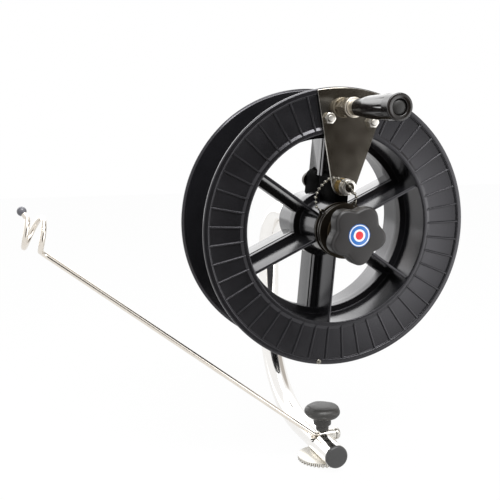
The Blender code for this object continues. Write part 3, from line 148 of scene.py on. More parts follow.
def arc(centre, radius, first, last, steps, first_axis, second_axis):
    """Points on an arc in the plane of two unit axes, with angles in degrees."""
    turns = [radians(first + (last - first) * i / steps) for i in range(steps + 1)]
    return [centre + radius * (cos(t) * first_axis + sin(t) * second_axis) for t in turns]


def dressed(name, shape, place, finish, body=None, nodes=(), crease=40):
    """Turns a bmesh in millimetres into a piece that rides on a body and stands for CAD nodes."""
    bmesh.ops.remove_doubles(shape, verts=shape.verts, dist=0.0005)
    bmesh.ops.transform(shape, matrix=Matrix.Scale(MM, 4) @ place, verts=shape.verts)
    bmesh.ops.recalc_face_normals(shape, faces=shape.faces)
    mesh = bpy.data.meshes.new(name)
    shape.to_mesh(mesh)
    shape.free()
    mesh.shade_smooth()
    mesh.set_sharp_from_angle(angle=radians(crease))
    mesh.materials.append(finish)
    made = bpy.data.objects.new(name, mesh)
    bpy.context.scene.collection.objects.link(made)
    if body:
        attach(made, body)
        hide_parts(*nodes)
    return made


def carved(piece, *shapes, place=Matrix(), crease=40):
    """Cuts closed shapes out of a piece and leaves no modifier on it."""
    tools = []
    for shape in shapes:
        tools.append(dressed(piece.name + "_tool", shape, place, piece.data.materials[0]))
        step = piece.modifiers.new("cut", "BOOLEAN")
        step.solver = "EXACT"
        step.object = tools[-1]
    bpy.context.view_layer.update()
    graph = bpy.context.evaluated_depsgraph_get()
    mesh = bpy.data.meshes.new_from_object(piece.evaluated_get(graph))
    piece.modifiers.clear()
    piece.data = mesh
    mesh.shade_smooth()
    mesh.set_sharp_from_angle(angle=radians(crease))
    for tool in tools:
        bpy.data.objects.remove(tool)


back, up = Vector((0, 1, 0)), Vector((0, 0, 1))
upper_centre = Vector((0, TUBE_LEG_BACK - TUBE_UPPER_BEND, TUBE_SPOOL_HEIGHT - TUBE_UPPER_BEND))
lower_centre = Vector((0, TUBE_LEG_BACK - TUBE_LOWER_BEND, TUBE_ARM_HEIGHT + TUBE_LOWER_BEND))
tube_route = [Vector((0, TUBE_SPOOL_END, TUBE_SPOOL_HEIGHT))]
tube_route += arc(upper_centre, TUBE_UPPER_BEND, 90, 0, 80, back, up)
tube_route += arc(lower_centre, TUBE_LOWER_BEND, 0, -90, 128, back, up)
tube_route += [Vector((0, TUBE_ARM_END, TUBE_ARM_HEIGHT))]
tube = dressed("tube_fine", swept(tube_route, TUBE_RADIUS, 96), Matrix(), polished_tube, "frame",
    ["frame_tube"])
cross_notch = swept([Vector((x, 0, SLEEVE_HEIGHT)) for x in (-NOTCH_REACH, NOTCH_REACH)],
    SLEEVE_RADIUS + GAP, 64)
plug_bore = swept([Vector((0, y, TUBE_ARM_HEIGHT))
    for y in (TUBE_ARM_END - BORE_OVERRUN, TUBE_ARM_END + PLUG_LENGTH + BORE_OVERRUN)],
    PLUG_RADIUS + GAP, 64)
carved(tube, cross_notch, plug_bore)


# End cap. A soft black plastic plug, moulded with a slightly domed face and pushed into the
# open end of the lower arm.

CAP_RADIUS, CAP_BEVEL, CAP_FLAT_RADIUS, CAP_FACE = 12.2, 39.9, 10.9, 41.8


def rounded(outline, steps=6):
    """Rounds an outline's corners. A point's third number is how far its round reaches."""
    points = []
    for i, corner in enumerate(outline):
        here = Vector(corner[:2])
        reach = corner[2] if len(corner) > 2 else 0
        if not reach:
            points.append(here)
            continue
        first = here + (Vector(outline[i - 1][:2]) - here).normalized() * reach
        last = here + (Vector(outline[(i + 1) % len(outline)][:2]) - here).normalized() * reach
        for k in range(steps + 1):
            t = k / steps
            points.append(first * (1 - t) ** 2 + here * 2 * t * (1 - t) + last * t * t)
    return points


def turned(outline, sides=96):
    """Revolves a closed outline of (radius, height, round) about Z."""
    shape = bmesh.new()
    rings = []
    for radius, height in rounded(outline):
        if radius < 0.001:
            rings.append([shape.verts.new((0, 0, height))] * sides)
        else:
            rings.append([shape.verts.new((radius * cos(2 * pi * i / sides),
                radius * sin(2 * pi * i / sides), height)) for i in range(sides)])
    for low, high in zip(rings, rings[1:] + rings[:1]):
        for i in range(sides):
            j = (i + 1) % sides
            corners = dict.fromkeys((low[i], low[j], high[j], high[i]))
            if len(corners) > 2:
                shape.faces.new(corners)
    return shape


def turned_piece(node, outline, place, finish, body, sides=96):
    """A turned piece that stands for the node of its name."""
    dressed(node + "_fine", turned(outline, sides), place, finish, body, [node])


def plastic(name, colour, roughness, grain=0.5, relief=0.01, paler=1.6):
    """Moulded plastic: the fine pebble of its tool in mm, coarser than the real one so that it
    shows, with slow shifts of gloss and of shade, up to paler times its colour."""
    made, tree, shader, place = new_material(name)
    pebble = add(tree, "TexNoise", {"Vector": place, "Scale": 1 / (grain * MM), "Detail": 2})
    flow = add(tree, "TexNoise", {"Vector": place, "Scale": 1 / (22 * MM), "Detail": 3})
    gloss = add(tree, "MapRange", {"Value": flow, "From Min": 0.3, "From Max": 0.7,
        "To Min": roughness * 0.9, "To Max": roughness * 1.15})
    pale = [c * paler for c in srgb(colour)[:3]] + [1]
    shade = add(tree, "Mix", {0: flow, 6: srgb(colour), 7: pale}, data_type="RGBA")
    surface(tree, shader, shade, gloss, pebble, relief)
    return made


# Dull black with a fine pebble, so its edge takes a broad weak light.
soft_plastic = plastic("soft black plastic", "#353535", 0.4)

cap_seat = GAP - TUBE_ARM_END
along_arm = Matrix.Translation((0, 0, TUBE_ARM_HEIGHT)) @ Matrix.Rotation(pi / 2, 4, "X")
turned_piece("end_cap", [(0, -TUBE_ARM_END - PLUG_LENGTH),
    (PLUG_RADIUS, -TUBE_ARM_END - PLUG_LENGTH), (PLUG_RADIUS, cap_seat), (CAP_RADIUS, cap_seat),
    (CAP_RADIUS, CAP_BEVEL, 0.5), (CAP_FLAT_RADIUS, CAP_FACE - 0.25, 0.6), (0, CAP_FACE)],
    along_arm, soft_plastic, "frame")


# Toothed disc. Turned from stainless bar, with 36 face teeth milled round its underside that
# lock into the holder, and left as it came from the cutter.

DISC_RADIUS, DISC_BORE, DISC_THICKNESS, DISC_EDGE = 26.0, 4.0, 5.0, 0.5
DISC_TEETH, TOOTH_DEPTH, TOOTH_LENGTH, TOOTH_EDGE, TOOTH_STEPS = 36, 2.2, 5.0, 0.35, 12
TOOTH_FLAT, CUT_AT_ROOT, CUT_AT_RIM = 0.12, 0.16, 0.95
# The painted gap shade covers faces whose gap is cut deeper than this share of the teeth's depth,
# below this height.
GAP_SHADE_SHARE, GAP_SHADE_HEIGHT = 0.35, 3.2

# Bright, with fine turning marks that blur what it mirrors.
turned_steel = steel("turned stainless steel", "#e2dfd8", 0.16, relief=0.002, wear=0.12)


def ringed(rings, open_ends=False):
    """Joins rings of (x, y, z) points, first to last and round again, into a closed shape."""
    shape = bmesh.new()
    made = [[shape.verts.new(p) for p in ring] for ring in rings]
    count = len(made[0])
    for low, high in zip(made, made[1:] + ([] if open_ends else made[:1])):
        for i in range(count):
            j = (i + 1) % count
            shape.faces.new((low[i], low[j], high[j], high[i]))
    if open_ends:
        shape.faces.new(made[0][::-1])
        shape.faces.new(made[-1])
    return shape


def tooth_rise(turn):
    """How far the gap between two teeth is cut up at this angle."""
    wave = abs((turn * DISC_TEETH / (2 * pi)) % 1 - 0.5) * 2
    return TOOTH_DEPTH * min(max((1 - wave - TOOTH_FLAT) / (1 - 2 * TOOTH_FLAT), 0), 1)


def disc_ring(radius, height, cut_share=0.0):
    """A ring of the disc, lifted in the gaps between the teeth by a share of their depth."""
    count = DISC_TEETH * TOOTH_STEPS
    turns = [2 * pi * i / count for i in range(count)]
    return [(radius * cos(a), radius * sin(a), height + cut_share * tooth_rise(a)) for a in turns]


root = DISC_RADIUS - TOOTH_LENGTH
disc = ringed([disc_ring(DISC_BORE, 0), disc_ring(root, 0), disc_ring(root + 0.8, 0, CUT_AT_ROOT),
    disc_ring(DISC_RADIUS - TOOTH_EDGE, 0, CUT_AT_RIM),
    disc_ring(DISC_RADIUS, TOOTH_EDGE, CUT_AT_RIM),
    disc_ring(DISC_RADIUS, DISC_THICKNESS - DISC_EDGE),
    disc_ring(DISC_RADIUS - 0.3 * DISC_EDGE, DISC_THICKNESS - 0.3 * DISC_EDGE),
    disc_ring(DISC_RADIUS - DISC_EDGE, DISC_THICKNESS), disc_ring(DISC_BORE, DISC_THICKNESS)])
disc_fine = dressed("toothed_disc_fine", disc, Matrix(), turned_steel, "frame",
    ["toothed_disc"], crease=28)
# The gaps are painted dark: painted shade, with the grease that gathers there, which is what makes
# the teeth read.
gap_shade_and_grease_steel = steel("steel with painted gap shade and grease", "#5d5242", 0.3, relief=0.01, wear=0.1, dulled=0.4)
disc_fine.data.materials.append(gap_shade_and_grease_steel)
for face in disc_fine.data.polygons:
    across, along, height = face.center / MM
    in_shaded_gap = tooth_rise(atan2(along, across) % (2 * pi)) > GAP_SHADE_SHARE * TOOTH_DEPTH
    face.material_index = int(in_shaded_gap and hypot(across, along) > root and height < GAP_SHADE_HEIGHT)


# Cross sleeve. A short stainless bush brazed across the top of the arm, reamed for the wire.

SLEEVE_BORE, SLEEVE_LEFT, SLEEVE_LENGTH = 2.9, 4.5, 19.0


def washer_outline(bore, radius, low, thickness, edge=0.4):
    """The section of a plain ring whose two outer corners are rounded."""
    high = low + thickness
    return [(bore, low), (radius, low, edge), (radius, high, edge), (bore, high)]


along_x = Matrix.Translation((0, 0, SLEEVE_HEIGHT)) @ Matrix.Rotation(pi / 2, 4, "Y")
turned_piece("guide_sleeve", washer_outline(SLEEVE_BORE, SLEEVE_RADIUS, -SLEEVE_LEFT,
    SLEEVE_LENGTH, 0.5), along_x, turned_steel, "frame")


# Axle and its collar. Ground stainless shaft fixed in the tube's end; the ring behind the hub
# sets the spool's place on it. Heights on this axis run from the spool's middle to the front.

SPOOL_BACK = 11.0
AXLE_RADIUS, AXLE_BACK, AXLE_STEP, AXLE_THREAD, AXLE_END = 8.0, -77.05, 67.45, 5.0, 87.05
AXLE_BORE, THREAD_BORE = AXLE_RADIUS + GAP, AXLE_THREAD + GAP
BUSH_FACE, COLLAR_THICKNESS = 48.45, 4.0

spool_axis = (Matrix.Translation((0, SPOOL_BACK, TUBE_SPOOL_HEIGHT))
    @ Matrix.Rotation(pi / 2, 4, "X"))
turned_piece("axle", [(0, AXLE_BACK), (AXLE_RADIUS, AXLE_BACK, 1), (AXLE_RADIUS, AXLE_STEP),
    (AXLE_THREAD, AXLE_STEP), (AXLE_THREAD, AXLE_END, 1), (0, AXLE_END)], spool_axis, turned_steel,
    "frame", 64)
collar_low = -BUSH_FACE - GAP - COLLAR_THICKNESS
turned_piece("axle_collar", washer_outline(AXLE_BORE, 17, collar_low, COLLAR_THICKNESS, 0.6),
    spool_axis, turned_steel, "frame")


# Spool halves. Two mouldings in glass-filled black nylon, each with a flange, a ribbed panel,
# a drum wall, a middle ring, six spokes and a hub. They are bolted together at the seam.

SPOOL_SEAM, SPOOL_FACE = 0.15, 46.15
FLANGE_RADIUS, FLANGE_BACK, FLANGE_TAPER, FLANGE_TAPER_RISE = 140.0, 41.15, 2.4, 1.5
RIM_INNER, PANEL_FACE = 133.8, 44.35
BORDER_FOOT, BORDER_TOP, BORDER_FACE = 102.8, 99.8, 45.75
OPENING_RADIUS, DRUM_RADIUS, LEDGE_INNER = 95.7, 99.7, 88.7
FRONT_HUB, REAR_HUB, HUB_BORE, HUB_FOOT = 26.5, 30.4, 20.0, 33.7
SPOKE_COUNT, SPOKE_THICKNESS, SPOKE_LOW, SPOKE_TOP = 6, 2.9, 3.5, 43.65
WEB_WIDTH, WEB_LOW, WEB_TOP, WEB_LEAN = 13.6, 1.5, 6.95, 0.5
RIB_COUNT, RIB_WIDTH, RIB_TOP, RIB_ROUND, RIB_DRAFT = 45, 2.5, 46.0, 0.6, 0.5
BAR_LAP, WALL_LAP = 2.0, 1.5
BOSS_HALF, BOSS_FOOT, BOSS_SHOULDER, BOSS_END = 7.0, 23.25, 50.5, 54.6
FRONT_BOSS, REAR_BOSS = 45.15, 36.75
CRANK_TURN, TIP_BOLT_PLACE, REAR_SEAT_RADIUS, REAR_SEAT_END = -5, 42.7, 10.4, 50.0

# Satin black that greys where it catches light, with the fine sand of its mould.
nylon = plastic("glass-filled black nylon", "#121214", 0.2, grain=0.6, relief=0.006)
nylon_shader = nylon.node_tree.nodes["Principled BSDF"]
nylon_shader.inputs["Specular Tint"].default_value = srgb("#faf8ff")
# The bolt bosses are painted shade: a deeper black with almost no reflection, so they stay as dark
# as the shade they sit in.
boss_shade_nylon = plastic("black nylon painted as boss shade", "#050505", 0.8, grain=0.4, relief=0.03, paler=1.2)
boss_shade_shader = boss_shade_nylon.node_tree.nodes["Principled BSDF"]
boss_shade_shader.inputs["Specular IOR Level"].default_value = 0.02


def bars_round(shape, count, start, inner, outer, width, low, high, edge, draft=0.0, lean=0.0):
    """Adds radial bars evenly round the axis, with rounded long edges, sides that draw in by
    draft and tops that fall by lean to one side and rise by it to the other."""
    half = width / 2
    section = rounded([(-half, low), (half, low), (half - draft, high - lean, edge),
        (draft - half, high + lean, edge)], 3)
    for i in range(count):
        turn = Matrix.Rotation(start + 2 * pi * i / count, 3, "Z")
        ends = [[shape.verts.new(turn @ Vector((along, across, height)))
            for across, height in section] for along in (inner, outer)]
        for a in range(len(section)):
            b = (a + 1) % len(section)
            shape.faces.new((ends[0][a], ends[0][b], ends[1][b], ends[1][a]))
        shape.faces.new(ends[0][::-1])
        shape.faces.new(ends[1])


def prism(outline, low, high, edge=0.0):
    """Extrudes a closed outline of (x, y, round) points and softens its two rims by edge."""
    points = rounded(outline, 8)
    centre = sum(points, Vector((0, 0))) / len(points)
    layers = [(0, low + edge), (0, high - edge)]
    if edge:
        layers = [(edge, low), (edge * 0.3, low + edge * 0.3)] + layers
        layers += [(edge * 0.3, high - edge * 0.3), (edge, high)]
    rings = []
    for inset, height in layers:
        ring = []
        for p in points:
            spoke = p - centre
            ring.append((*(centre + spoke * (1 - inset / spoke.length)), height))
        rings.append(ring)
    return ringed(rings, open_ends=True)


def merged(shape, other):
    """Adds another shape to this one, still as closed skins of their own."""
    mesh = bpy.data.meshes.new("part of a piece")
    other.to_mesh(mesh)
    other.free()
    shape.from_mesh(mesh)
    bpy.data.meshes.remove(mesh)
    return shape


def spool_half(name, hub_radius, boss_face, place, nodes):
    """One moulding, drawn from the seam outwards, with its bolt boss along Y."""
    half = turned([(DRUM_RADIUS, SPOOL_SEAM), (DRUM_RADIUS, FLANGE_BACK, 0.9),
        (FLANGE_RADIUS - FLANGE_TAPER, FLANGE_BACK, 0.6),
        (FLANGE_RADIUS, FLANGE_BACK + FLANGE_TAPER_RISE, 0.7), (FLANGE_RADIUS, SPOOL_FACE, 1.9),
        (RIM_INNER + 0.8, SPOOL_FACE, 0.8), (RIM_INNER, PANEL_FACE, 0.4),
        (BORDER_FOOT, PANEL_FACE, 0.2), (BORDER_TOP, BORDER_FACE, 0.5),
        (OPENING_RADIUS, BORDER_FACE, 1.1), (OPENING_RADIUS, WEB_TOP, 0.8),
        (LEDGE_INNER, WEB_TOP, 0.7), (LEDGE_INNER, SPOOL_SEAM)], 288)
    merged(half, turned([(HUB_FOOT, SPOOL_SEAM), (HUB_FOOT, WEB_TOP, 0.7),
        (hub_radius, WEB_TOP, 0.8), (hub_radius, SPOOL_FACE, 1), (HUB_BORE, SPOOL_FACE, 0.4),
        (HUB_BORE, SPOOL_SEAM)], 128))
    bars_round(half, SPOKE_COUNT, pi / 2, hub_radius - BAR_LAP, OPENING_RADIUS + WALL_LAP,
        SPOKE_THICKNESS, SPOKE_LOW, SPOKE_TOP, 0.7)
    bars_round(half, SPOKE_COUNT, pi / 2, HUB_FOOT - BAR_LAP, LEDGE_INNER + BAR_LAP, WEB_WIDTH,
        WEB_LOW, WEB_TOP - WEB_LEAN, 0.6, lean=WEB_LEAN)
    bars_round(half, RIB_COUNT, pi / 2 + pi / RIB_COUNT, BORDER_TOP + 0.4, RIM_INNER + 1,
        RIB_WIDTH, PANEL_FACE - 0.2, RIB_TOP, RIB_ROUND, RIB_DRAFT)
    boss = prism([(-BOSS_HALF, BOSS_FOOT), (BOSS_HALF, BOSS_FOOT), (BOSS_HALF, BOSS_SHOULDER, 2),
        (BOSS_HALF / 2, BOSS_END, 2), (-BOSS_HALF / 2, BOSS_END, 2),
        (-BOSS_HALF, BOSS_SHOULDER, 2)], SPOOL_SEAM, boss_face, 0.3)
    # The boss takes the black that is painted as shade.
    for face in boss.faces:
        face.material_index = 1
    made = dressed(name, merged(half, boss), place, nylon, "spool", nodes, 30)
    made.data.materials.append(boss_shade_nylon)
    return made


crank_axis = spool_axis @ Matrix.Rotation(radians(CRANK_TURN), 4, "Z")
rear_axis = crank_axis @ Matrix.Rotation(pi, 4, "Y")
spool_half("spool_front_fine", FRONT_HUB, FRONT_BOSS, crank_axis, ["spool_front_half"])
rear_half = spool_half("spool_rear_fine", REAR_HUB, REAR_BOSS, rear_axis, ["spool_rear_half"])
# The rear boss is faced off, which leaves a round flat seat for the spacer.
seat = turned([(0, REAR_BOSS), (REAR_SEAT_RADIUS, REAR_BOSS), (REAR_SEAT_RADIUS, REAR_SEAT_END),
    (0, REAR_SEAT_END)], 64)
bmesh.ops.translate(seat, verts=seat.verts, vec=(0, TIP_BOLT_PLACE, 0))
carved(rear_half, seat, place=rear_axis, crease=30)


# Hub bushes. Black acetal, turned, pressed into both ends of the hub.

BUSH_RADIUS, BUSH_FLANGE, BUSH_END = 19.7, 24.5, 30.45

# Smooth and a little waxy, so its flange takes one soft light.
acetal = plastic("black acetal", "#141415", 0.28, grain=0.3, relief=0.004)
for word, way in (("front", 1), ("rear", -1)):
    turned_piece("hub_bush_" + word, [(AXLE_BORE, BUSH_END * way), (BUSH_RADIUS, BUSH_END * way),
        (BUSH_RADIUS, (SPOOL_FACE + GAP) * way), (BUSH_FLANGE, (SPOOL_FACE + GAP) * way, 0.3),
        (BUSH_FLANGE, BUSH_FACE * way, 0.5), (AXLE_BORE, BUSH_FACE * way)], spool_axis, acetal,
        "spool")


# Drag discs, linings, disc spring and pressure washer. Blanked steel discs with a drilled ear
# for the chain, pressed fibre linings between them, and a hardened spring disc under the knob.

EAR_RADIUS, EAR_PLACE, EAR_EYE, REAR_EAR, FRONT_EAR = 3.0, 26.9, 1.3, 138, 72
DRAG_RADIUS, DRAG_THICKNESS, DRAG_EDGE, KEYED_RADIUS = 27.5, 2.5, 0.25, 26.8
LINING_RADIUS, LINING_THICKNESS, WASHER_RADIUS, WASHER_THICKNESS = 25.8, 3.0, 13.5, 2.4
SPRING_RADIUS, SPRING_SHEET, SPRING_HEIGHT = 20.0, 1.2, 4.0

# Oil-darkened steel with brown edges, dull enough to show only broad lights.
drag_steel = steel("oiled drag steel", "#38332c", 0.28, relief=0.004, wear=0.15, dulled=0.5)
# Spring steel, blued brown by its heat treatment.
spring_steel = steel("tempered spring steel", "#5e5443", 0.2, relief=0.002, wear=0.1, dulled=0.6)


def fibre_material():
    """Pressed drag lining: dark brown felted fibre with paler flecks, quite without gloss."""
    made, tree, shader, place = new_material("pressed drag fibre")
    flecks = add(tree, "TexVoronoi", {"Vector": place, "Scale": 1 / (0.5 * MM)})
    clouds = add(tree, "TexNoise", {"Vector": place, "Scale": 1 / (3 * MM), "Detail": 4})
    mixed = add(tree, "Math", {0: flecks, 1: clouds}, operation="MULTIPLY")
    colour = add(tree, "Mix", {0: mixed, 6: srgb("#141210"), 7: srgb("#3a322a")}, data_type="RGBA")
    rough = add(tree, "MapRange", {"Value": clouds, "To Min": 0.75, "To Max": 0.95})
    surface(tree, shader, colour, rough, mixed, 0.05)
    return made


lining_fibre = fibre_material()


def ear_eye(ear, height):
    """The place of an ear's eye, from its angle in degrees."""
    return Vector((EAR_PLACE * cos(radians(ear)), EAR_PLACE * sin(radians(ear)), height))


def eared_outline(ear_turn):
    """Round disc outline with one round ear, as (x, y) points."""
    points = []
    for i in range(360):
        turn = 2 * pi * i / 360
        off = (turn - ear_turn + pi) % (2 * pi) - pi
        reach = DRAG_RADIUS
        across = EAR_PLACE * sin(off)
        if abs(off) < 0.5 and abs(across) < EAR_RADIUS:
            reach = max(reach, EAR_PLACE * cos(off) + sqrt(EAR_RADIUS**2 - across**2))
        points.append((reach * cos(turn), reach * sin(turn)))
    return points


def lofted(outline, layers):
    """Rings of one outline, each drawn in towards the axis by its (inset, height)."""
    return [[(x * (1 - inset / hypot(x, y)), y * (1 - inset / hypot(x, y)), height)
        for x, y in outline] for inset, height in layers]


def eared_disc(node, ear, low):
    """A blanked disc with one ear, drilled for the chain's ring."""
    high = low + DRAG_THICKNESS
    outline = eared_outline(radians(ear))
    rings = lofted(outline, [(DRAG_EDGE, low), (0, low + DRAG_EDGE), (0, high - DRAG_EDGE),
        (DRAG_EDGE, high)])
    bore = [(AXLE_BORE * x / hypot(x, y), AXLE_BORE * y / hypot(x, y)) for x, y in outline]
    rings += [[(x, y, high) for x, y in bore], [(x, y, low) for x, y in bore]]
    piece = dressed(node + "_fine", ringed(rings), spool_axis, drag_steel, "spool",
        [node])
    eye = turned([(0, low - BORE_OVERRUN), (EAR_EYE, low - BORE_OVERRUN),
        (EAR_EYE, high + BORE_OVERRUN), (0, high + BORE_OVERRUN)], 32)
    bmesh.ops.translate(eye, verts=eye.verts, vec=ear_eye(ear, 0))
    carved(piece, eye, place=spool_axis)


drag_step = DRAG_THICKNESS + LINING_THICKNESS + 2 * GAP
inner_low, keyed_low, outer_low = [BUSH_FACE + GAP + drag_step * i for i in range(3)]
eared_disc("inner_drag_disc", REAR_EAR, inner_low)
eared_disc("outer_drag_disc", FRONT_EAR, outer_low)
for word, disc_low in (("inner_lining", inner_low), ("outer_lining", keyed_low)):
    lining_low = disc_low + DRAG_THICKNESS + GAP
    lining = washer_outline(AXLE_BORE, LINING_RADIUS, lining_low, LINING_THICKNESS)
    turned_piece(word, lining, spool_axis, lining_fibre, "spool")
turned_piece("keyed_disc", washer_outline(AXLE_BORE, KEYED_RADIUS, keyed_low, DRAG_THICKNESS, 0.3),
    spool_axis, drag_steel, "frame")
spring_low = outer_low + DRAG_THICKNESS + GAP
spring_high = spring_low + SPRING_HEIGHT
turned_piece("disc_spring", [(SPRING_RADIUS, spring_low, 0.3),
    (SPRING_RADIUS, spring_low + SPRING_SHEET, 0.3), (AXLE_BORE, spring_high),
    (AXLE_BORE, spring_high - SPRING_SHEET)], spool_axis, spring_steel, "spool")
washer_low = spring_high + GAP
turned_piece("pressure_washer", washer_outline(THREAD_BORE, WASHER_RADIUS, washer_low,
    WASHER_THICKNESS), spool_axis, turned_steel, "drag_washer")


# Ball chain and its rings. Hollow balls rolled from nickel-plated brass strip on short pins,
# looped slack over the long bolt and hung in the two discs' ears by small wire rings.

BEAD_RADIUS, BEAD_PITCH, PIN_END, PIN_MIDDLE = 1.6, 4.8, 0.62, 0.45
RING_RADIUS, RING_WIRE = 2.8, 0.6
TIP_BOLT_END = 63.15
# The chain's route, point by point from the end of the long bolt.
CHAIN_ROUTE = [(-30.5, -15.0, -12.7), (-31.3, -9.7, -11.7), (-30.1, -4.5, -10.2),
    (-28.1, 0.6, -8.2), (-25.3, 4.3, -5.7), (-23.0, 8.0, -3.2), (-20.5, 9.6, -0.7),
    (-16.8, 10.0, 1.0), (-12.2, 9.2, 2.0), (-7.7, 6.6, 2.5), (-3.0, 3.2, 2.6), (0.7, -1.6, 2.5),
    (4.2, -5.6, 1.5)]

# Dark nickel, worn smooth, with one small sharp light on every ball.
chain_nickel = steel("worn dark nickel", "#8a877e", 0.1, grain=(0.2, 0.2, 0.2), relief=0.002,
    wear=0.12, dulled=0.6)


def chain_ring(node, ear, height):
    """Small wire ring through an ear's eye; it gives the place where the chain's end bead sits."""
    out = Vector((cos(radians(ear)), sin(radians(ear)), 0))
    centre = ear_eye(ear, height) + out * RING_RADIUS
    route = arc(centre, RING_RADIUS, 0, 360, 48, out, up)[:-1]
    dressed(node + "_fine", swept(route, RING_WIRE, 16, closed=True), spool_axis, chain_nickel,
        "spool", [node])
    return centre + out * (RING_RADIUS + RING_WIRE + GAP + BEAD_RADIUS)


def smooth_route(points, steps):
    """A Catmull-Rom curve through the points."""
    ends = [2 * points[0] - points[1]] + points + [2 * points[-1] - points[-2]]
    route = []
    for a, b, c, d in zip(ends, ends[1:], ends[2:], ends[3:]):
        for i in range(steps):
            t = i / steps
            route.append((2 * b + (c - a) * t + (2 * a - 5 * b + 4 * c - d) * t**2
                + (3 * b - a - 3 * c + d) * t**3) / 2)
    return route + [points[-1]]


def spaced(route, pitch):
    """Points at an even distance along a route."""
    found, waiting = [route[0]], pitch
    for a, b in zip(route, route[1:]):
        while (b - a).length > waiting:
            a = a + (b - a).normalized() * waiting
            found.append(a)
            waiting = pitch
        waiting -= (b - a).length
    return found


first_bead = chain_ring("chain_ring_rear", REAR_EAR, inner_low + DRAG_THICKNESS / 2)
last_bead = chain_ring("chain_ring_front", FRONT_EAR, outer_low + DRAG_THICKNESS / 2)
bolt_end = (Matrix.Rotation(radians(CRANK_TURN), 3, "Z")
    @ Vector((0, TIP_BOLT_PLACE, TIP_BOLT_END)))
chain_points = [first_bead] + [bolt_end + Vector(p) for p in CHAIN_ROUTE] + [last_bead]
beads = spaced(smooth_route(chain_points, 12), BEAD_PITCH)
chain = bmesh.new()
for bead in beads:
    bmesh.ops.create_uvsphere(chain, u_segments=24, v_segments=16, radius=BEAD_RADIUS,
        matrix=Matrix.Translation(bead))
for here, there in zip(beads, beads[1:]):
    pin = [here, here * 0.5 + there * 0.5, there]
    merged(chain, swept(pin, [PIN_END, PIN_MIDDLE, PIN_END], 10))
dressed("bead_chain_fine", chain, spool_axis, chain_nickel, "spool",
    ["bead_chain"])


# Star knob. Matt black phenolic with five round lobes, moulded round a threaded brass insert,
# with a printed foil badge sunk in its face. The badge here is plain rings.

KNOB_TIP, KNOB_VALLEY, KNOB_LOBES, KNOB_TURN, LOBE_FULLNESS = 29.4, 6.0, 5, 276, 0.8
KNOB_SKIRT, KNOB_FACE, KNOB_EDGE, KNOB_NECK, KNOB_SOCKET = 77.05, 94.55, 3.5, 13.8, 8.8
INSERT_RADIUS, INSERT_LENGTH = 8.5, 10.0
BADGE_RADIUS, BADGE_LOW, BADGE_FACE = 11.1, 93.95, 94.45

# Matt charcoal with a dry fine grain, so the lobes shade softly and show no mirror light.
phenolic = plastic("matt black phenolic", "#1b1919", 0.42, grain=0.35, relief=0.012, paler=1.35)


def lobed(tip, valley, lobes, turn, steps=240):
    """A knob outline with round lobes, as (x, y) points."""
    points = []
    for i in range(steps):
        angle = 2 * pi * i / steps
        radius = tip - valley * (1 - ((1 + cos(lobes * angle)) / 2) ** LOBE_FULLNESS)
        points.append((radius * cos(angle + radians(turn)), radius * sin(angle + radians(turn))))
    return points


def quarter(edge, height, way, steps=8):
    """(inset, height) layers of a quarter-round edge that ends flat at height."""
    turns = [pi / 2 * i / steps for i in range(steps + 1)]
    return [(edge * (1 - cos(t)), height - way * edge * (1 - sin(t))) for t in turns]


knob_low = washer_low + WASHER_THICKNESS + GAP
knob_layers = quarter(KNOB_EDGE, KNOB_SKIRT, -1)[::-1] + quarter(KNOB_EDGE, KNOB_FACE, 1)
knob_rings = lofted(lobed(KNOB_TIP, KNOB_VALLEY, KNOB_LOBES, KNOB_TURN), knob_layers)
badge_seat = lobed(BADGE_RADIUS + GAP, 0, 1, KNOB_TURN)
knob_rings += [[(x, y, height) for x, y in badge_seat] for height in (KNOB_FACE, BADGE_LOW - GAP)]
knob = ringed(knob_rings, open_ends=True)
merged(knob, turned([(KNOB_SOCKET, knob_low), (KNOB_NECK, knob_low, 0.6),
    (KNOB_NECK, KNOB_SKIRT + 2), (KNOB_SOCKET, KNOB_SKIRT + 2)]))
dressed("star_knob_fine", knob, spool_axis, phenolic, "star_knob", ["star_knob"],
    crease=50)

# Plain yellow brass, gone a little brown, bright where the tool left it.
insert_brass = steel("turned brass", "#cdb377", 0.2, relief=0.002, wear=0.1)
turned_piece("knob_insert", [(THREAD_BORE, knob_low), (INSERT_RADIUS, knob_low, 0.3),
    (INSERT_RADIUS, knob_low + INSERT_LENGTH), (THREAD_BORE, knob_low + INSERT_LENGTH)],
    spool_axis, insert_brass, "star_knob")


def badge_material():
    """Printed foil: a red disc, a white ring and a blue ring under clear lacquer."""
    made, tree, shader, place = new_material("lacquered ring badge")
    flat = add(tree, "Mapping", {"Vector": place, "Location": (0, 0, -TUBE_SPOOL_HEIGHT * MM),
        "Scale": (1, 0, 1)})
    reach = add(tree, "VectorMath", {0: flat}, operation="LENGTH")
    colour = srgb("#dc3238")
    for radius, code in ((4.0, "#eceeee"), (6.0, "#2f6fbb"), (9.2, "#e8eaea"), (10.3, "#2a62ac")):
        outside = add(tree, "Math", {0: reach, 1: radius * MM}, operation="GREATER_THAN")
        colour = add(tree, "Mix", {0: outside, 6: colour, 7: srgb(code)}, data_type="RGBA")
    grain = add(tree, "TexNoise", {"Vector": place, "Scale": 1 / (0.4 * MM)})
    rough = add(tree, "MapRange", {"Value": grain, "To Min": 0.2, "To Max": 0.4})
    shader.inputs["Coat Weight"].default_value = 0.5
    surface(tree, shader, colour, rough, grain, 0.004)
    return made


turned_piece("knob_badge", [(0, BADGE_LOW), (BADGE_RADIUS, BADGE_LOW),
    (BADGE_RADIUS, BADGE_FACE, 0.2), (0, BADGE_FACE)], spool_axis, badge_material(), "star_knob")


# Crank plate. Blanked from 2 mm stainless sheet, belt-brushed along its length, its edges
# broken, and bolted to the flange.

PLATE_LOW, PLATE_THICKNESS = SPOOL_FACE + GAP, 2.0
PLATE_TIP_PLACE, PLATE_TIP_RADIUS = 46.2, 13.0
PLATE_HALF, PLATE_REACH, PLATE_CORNER = 38.5, 138.8, 1.2

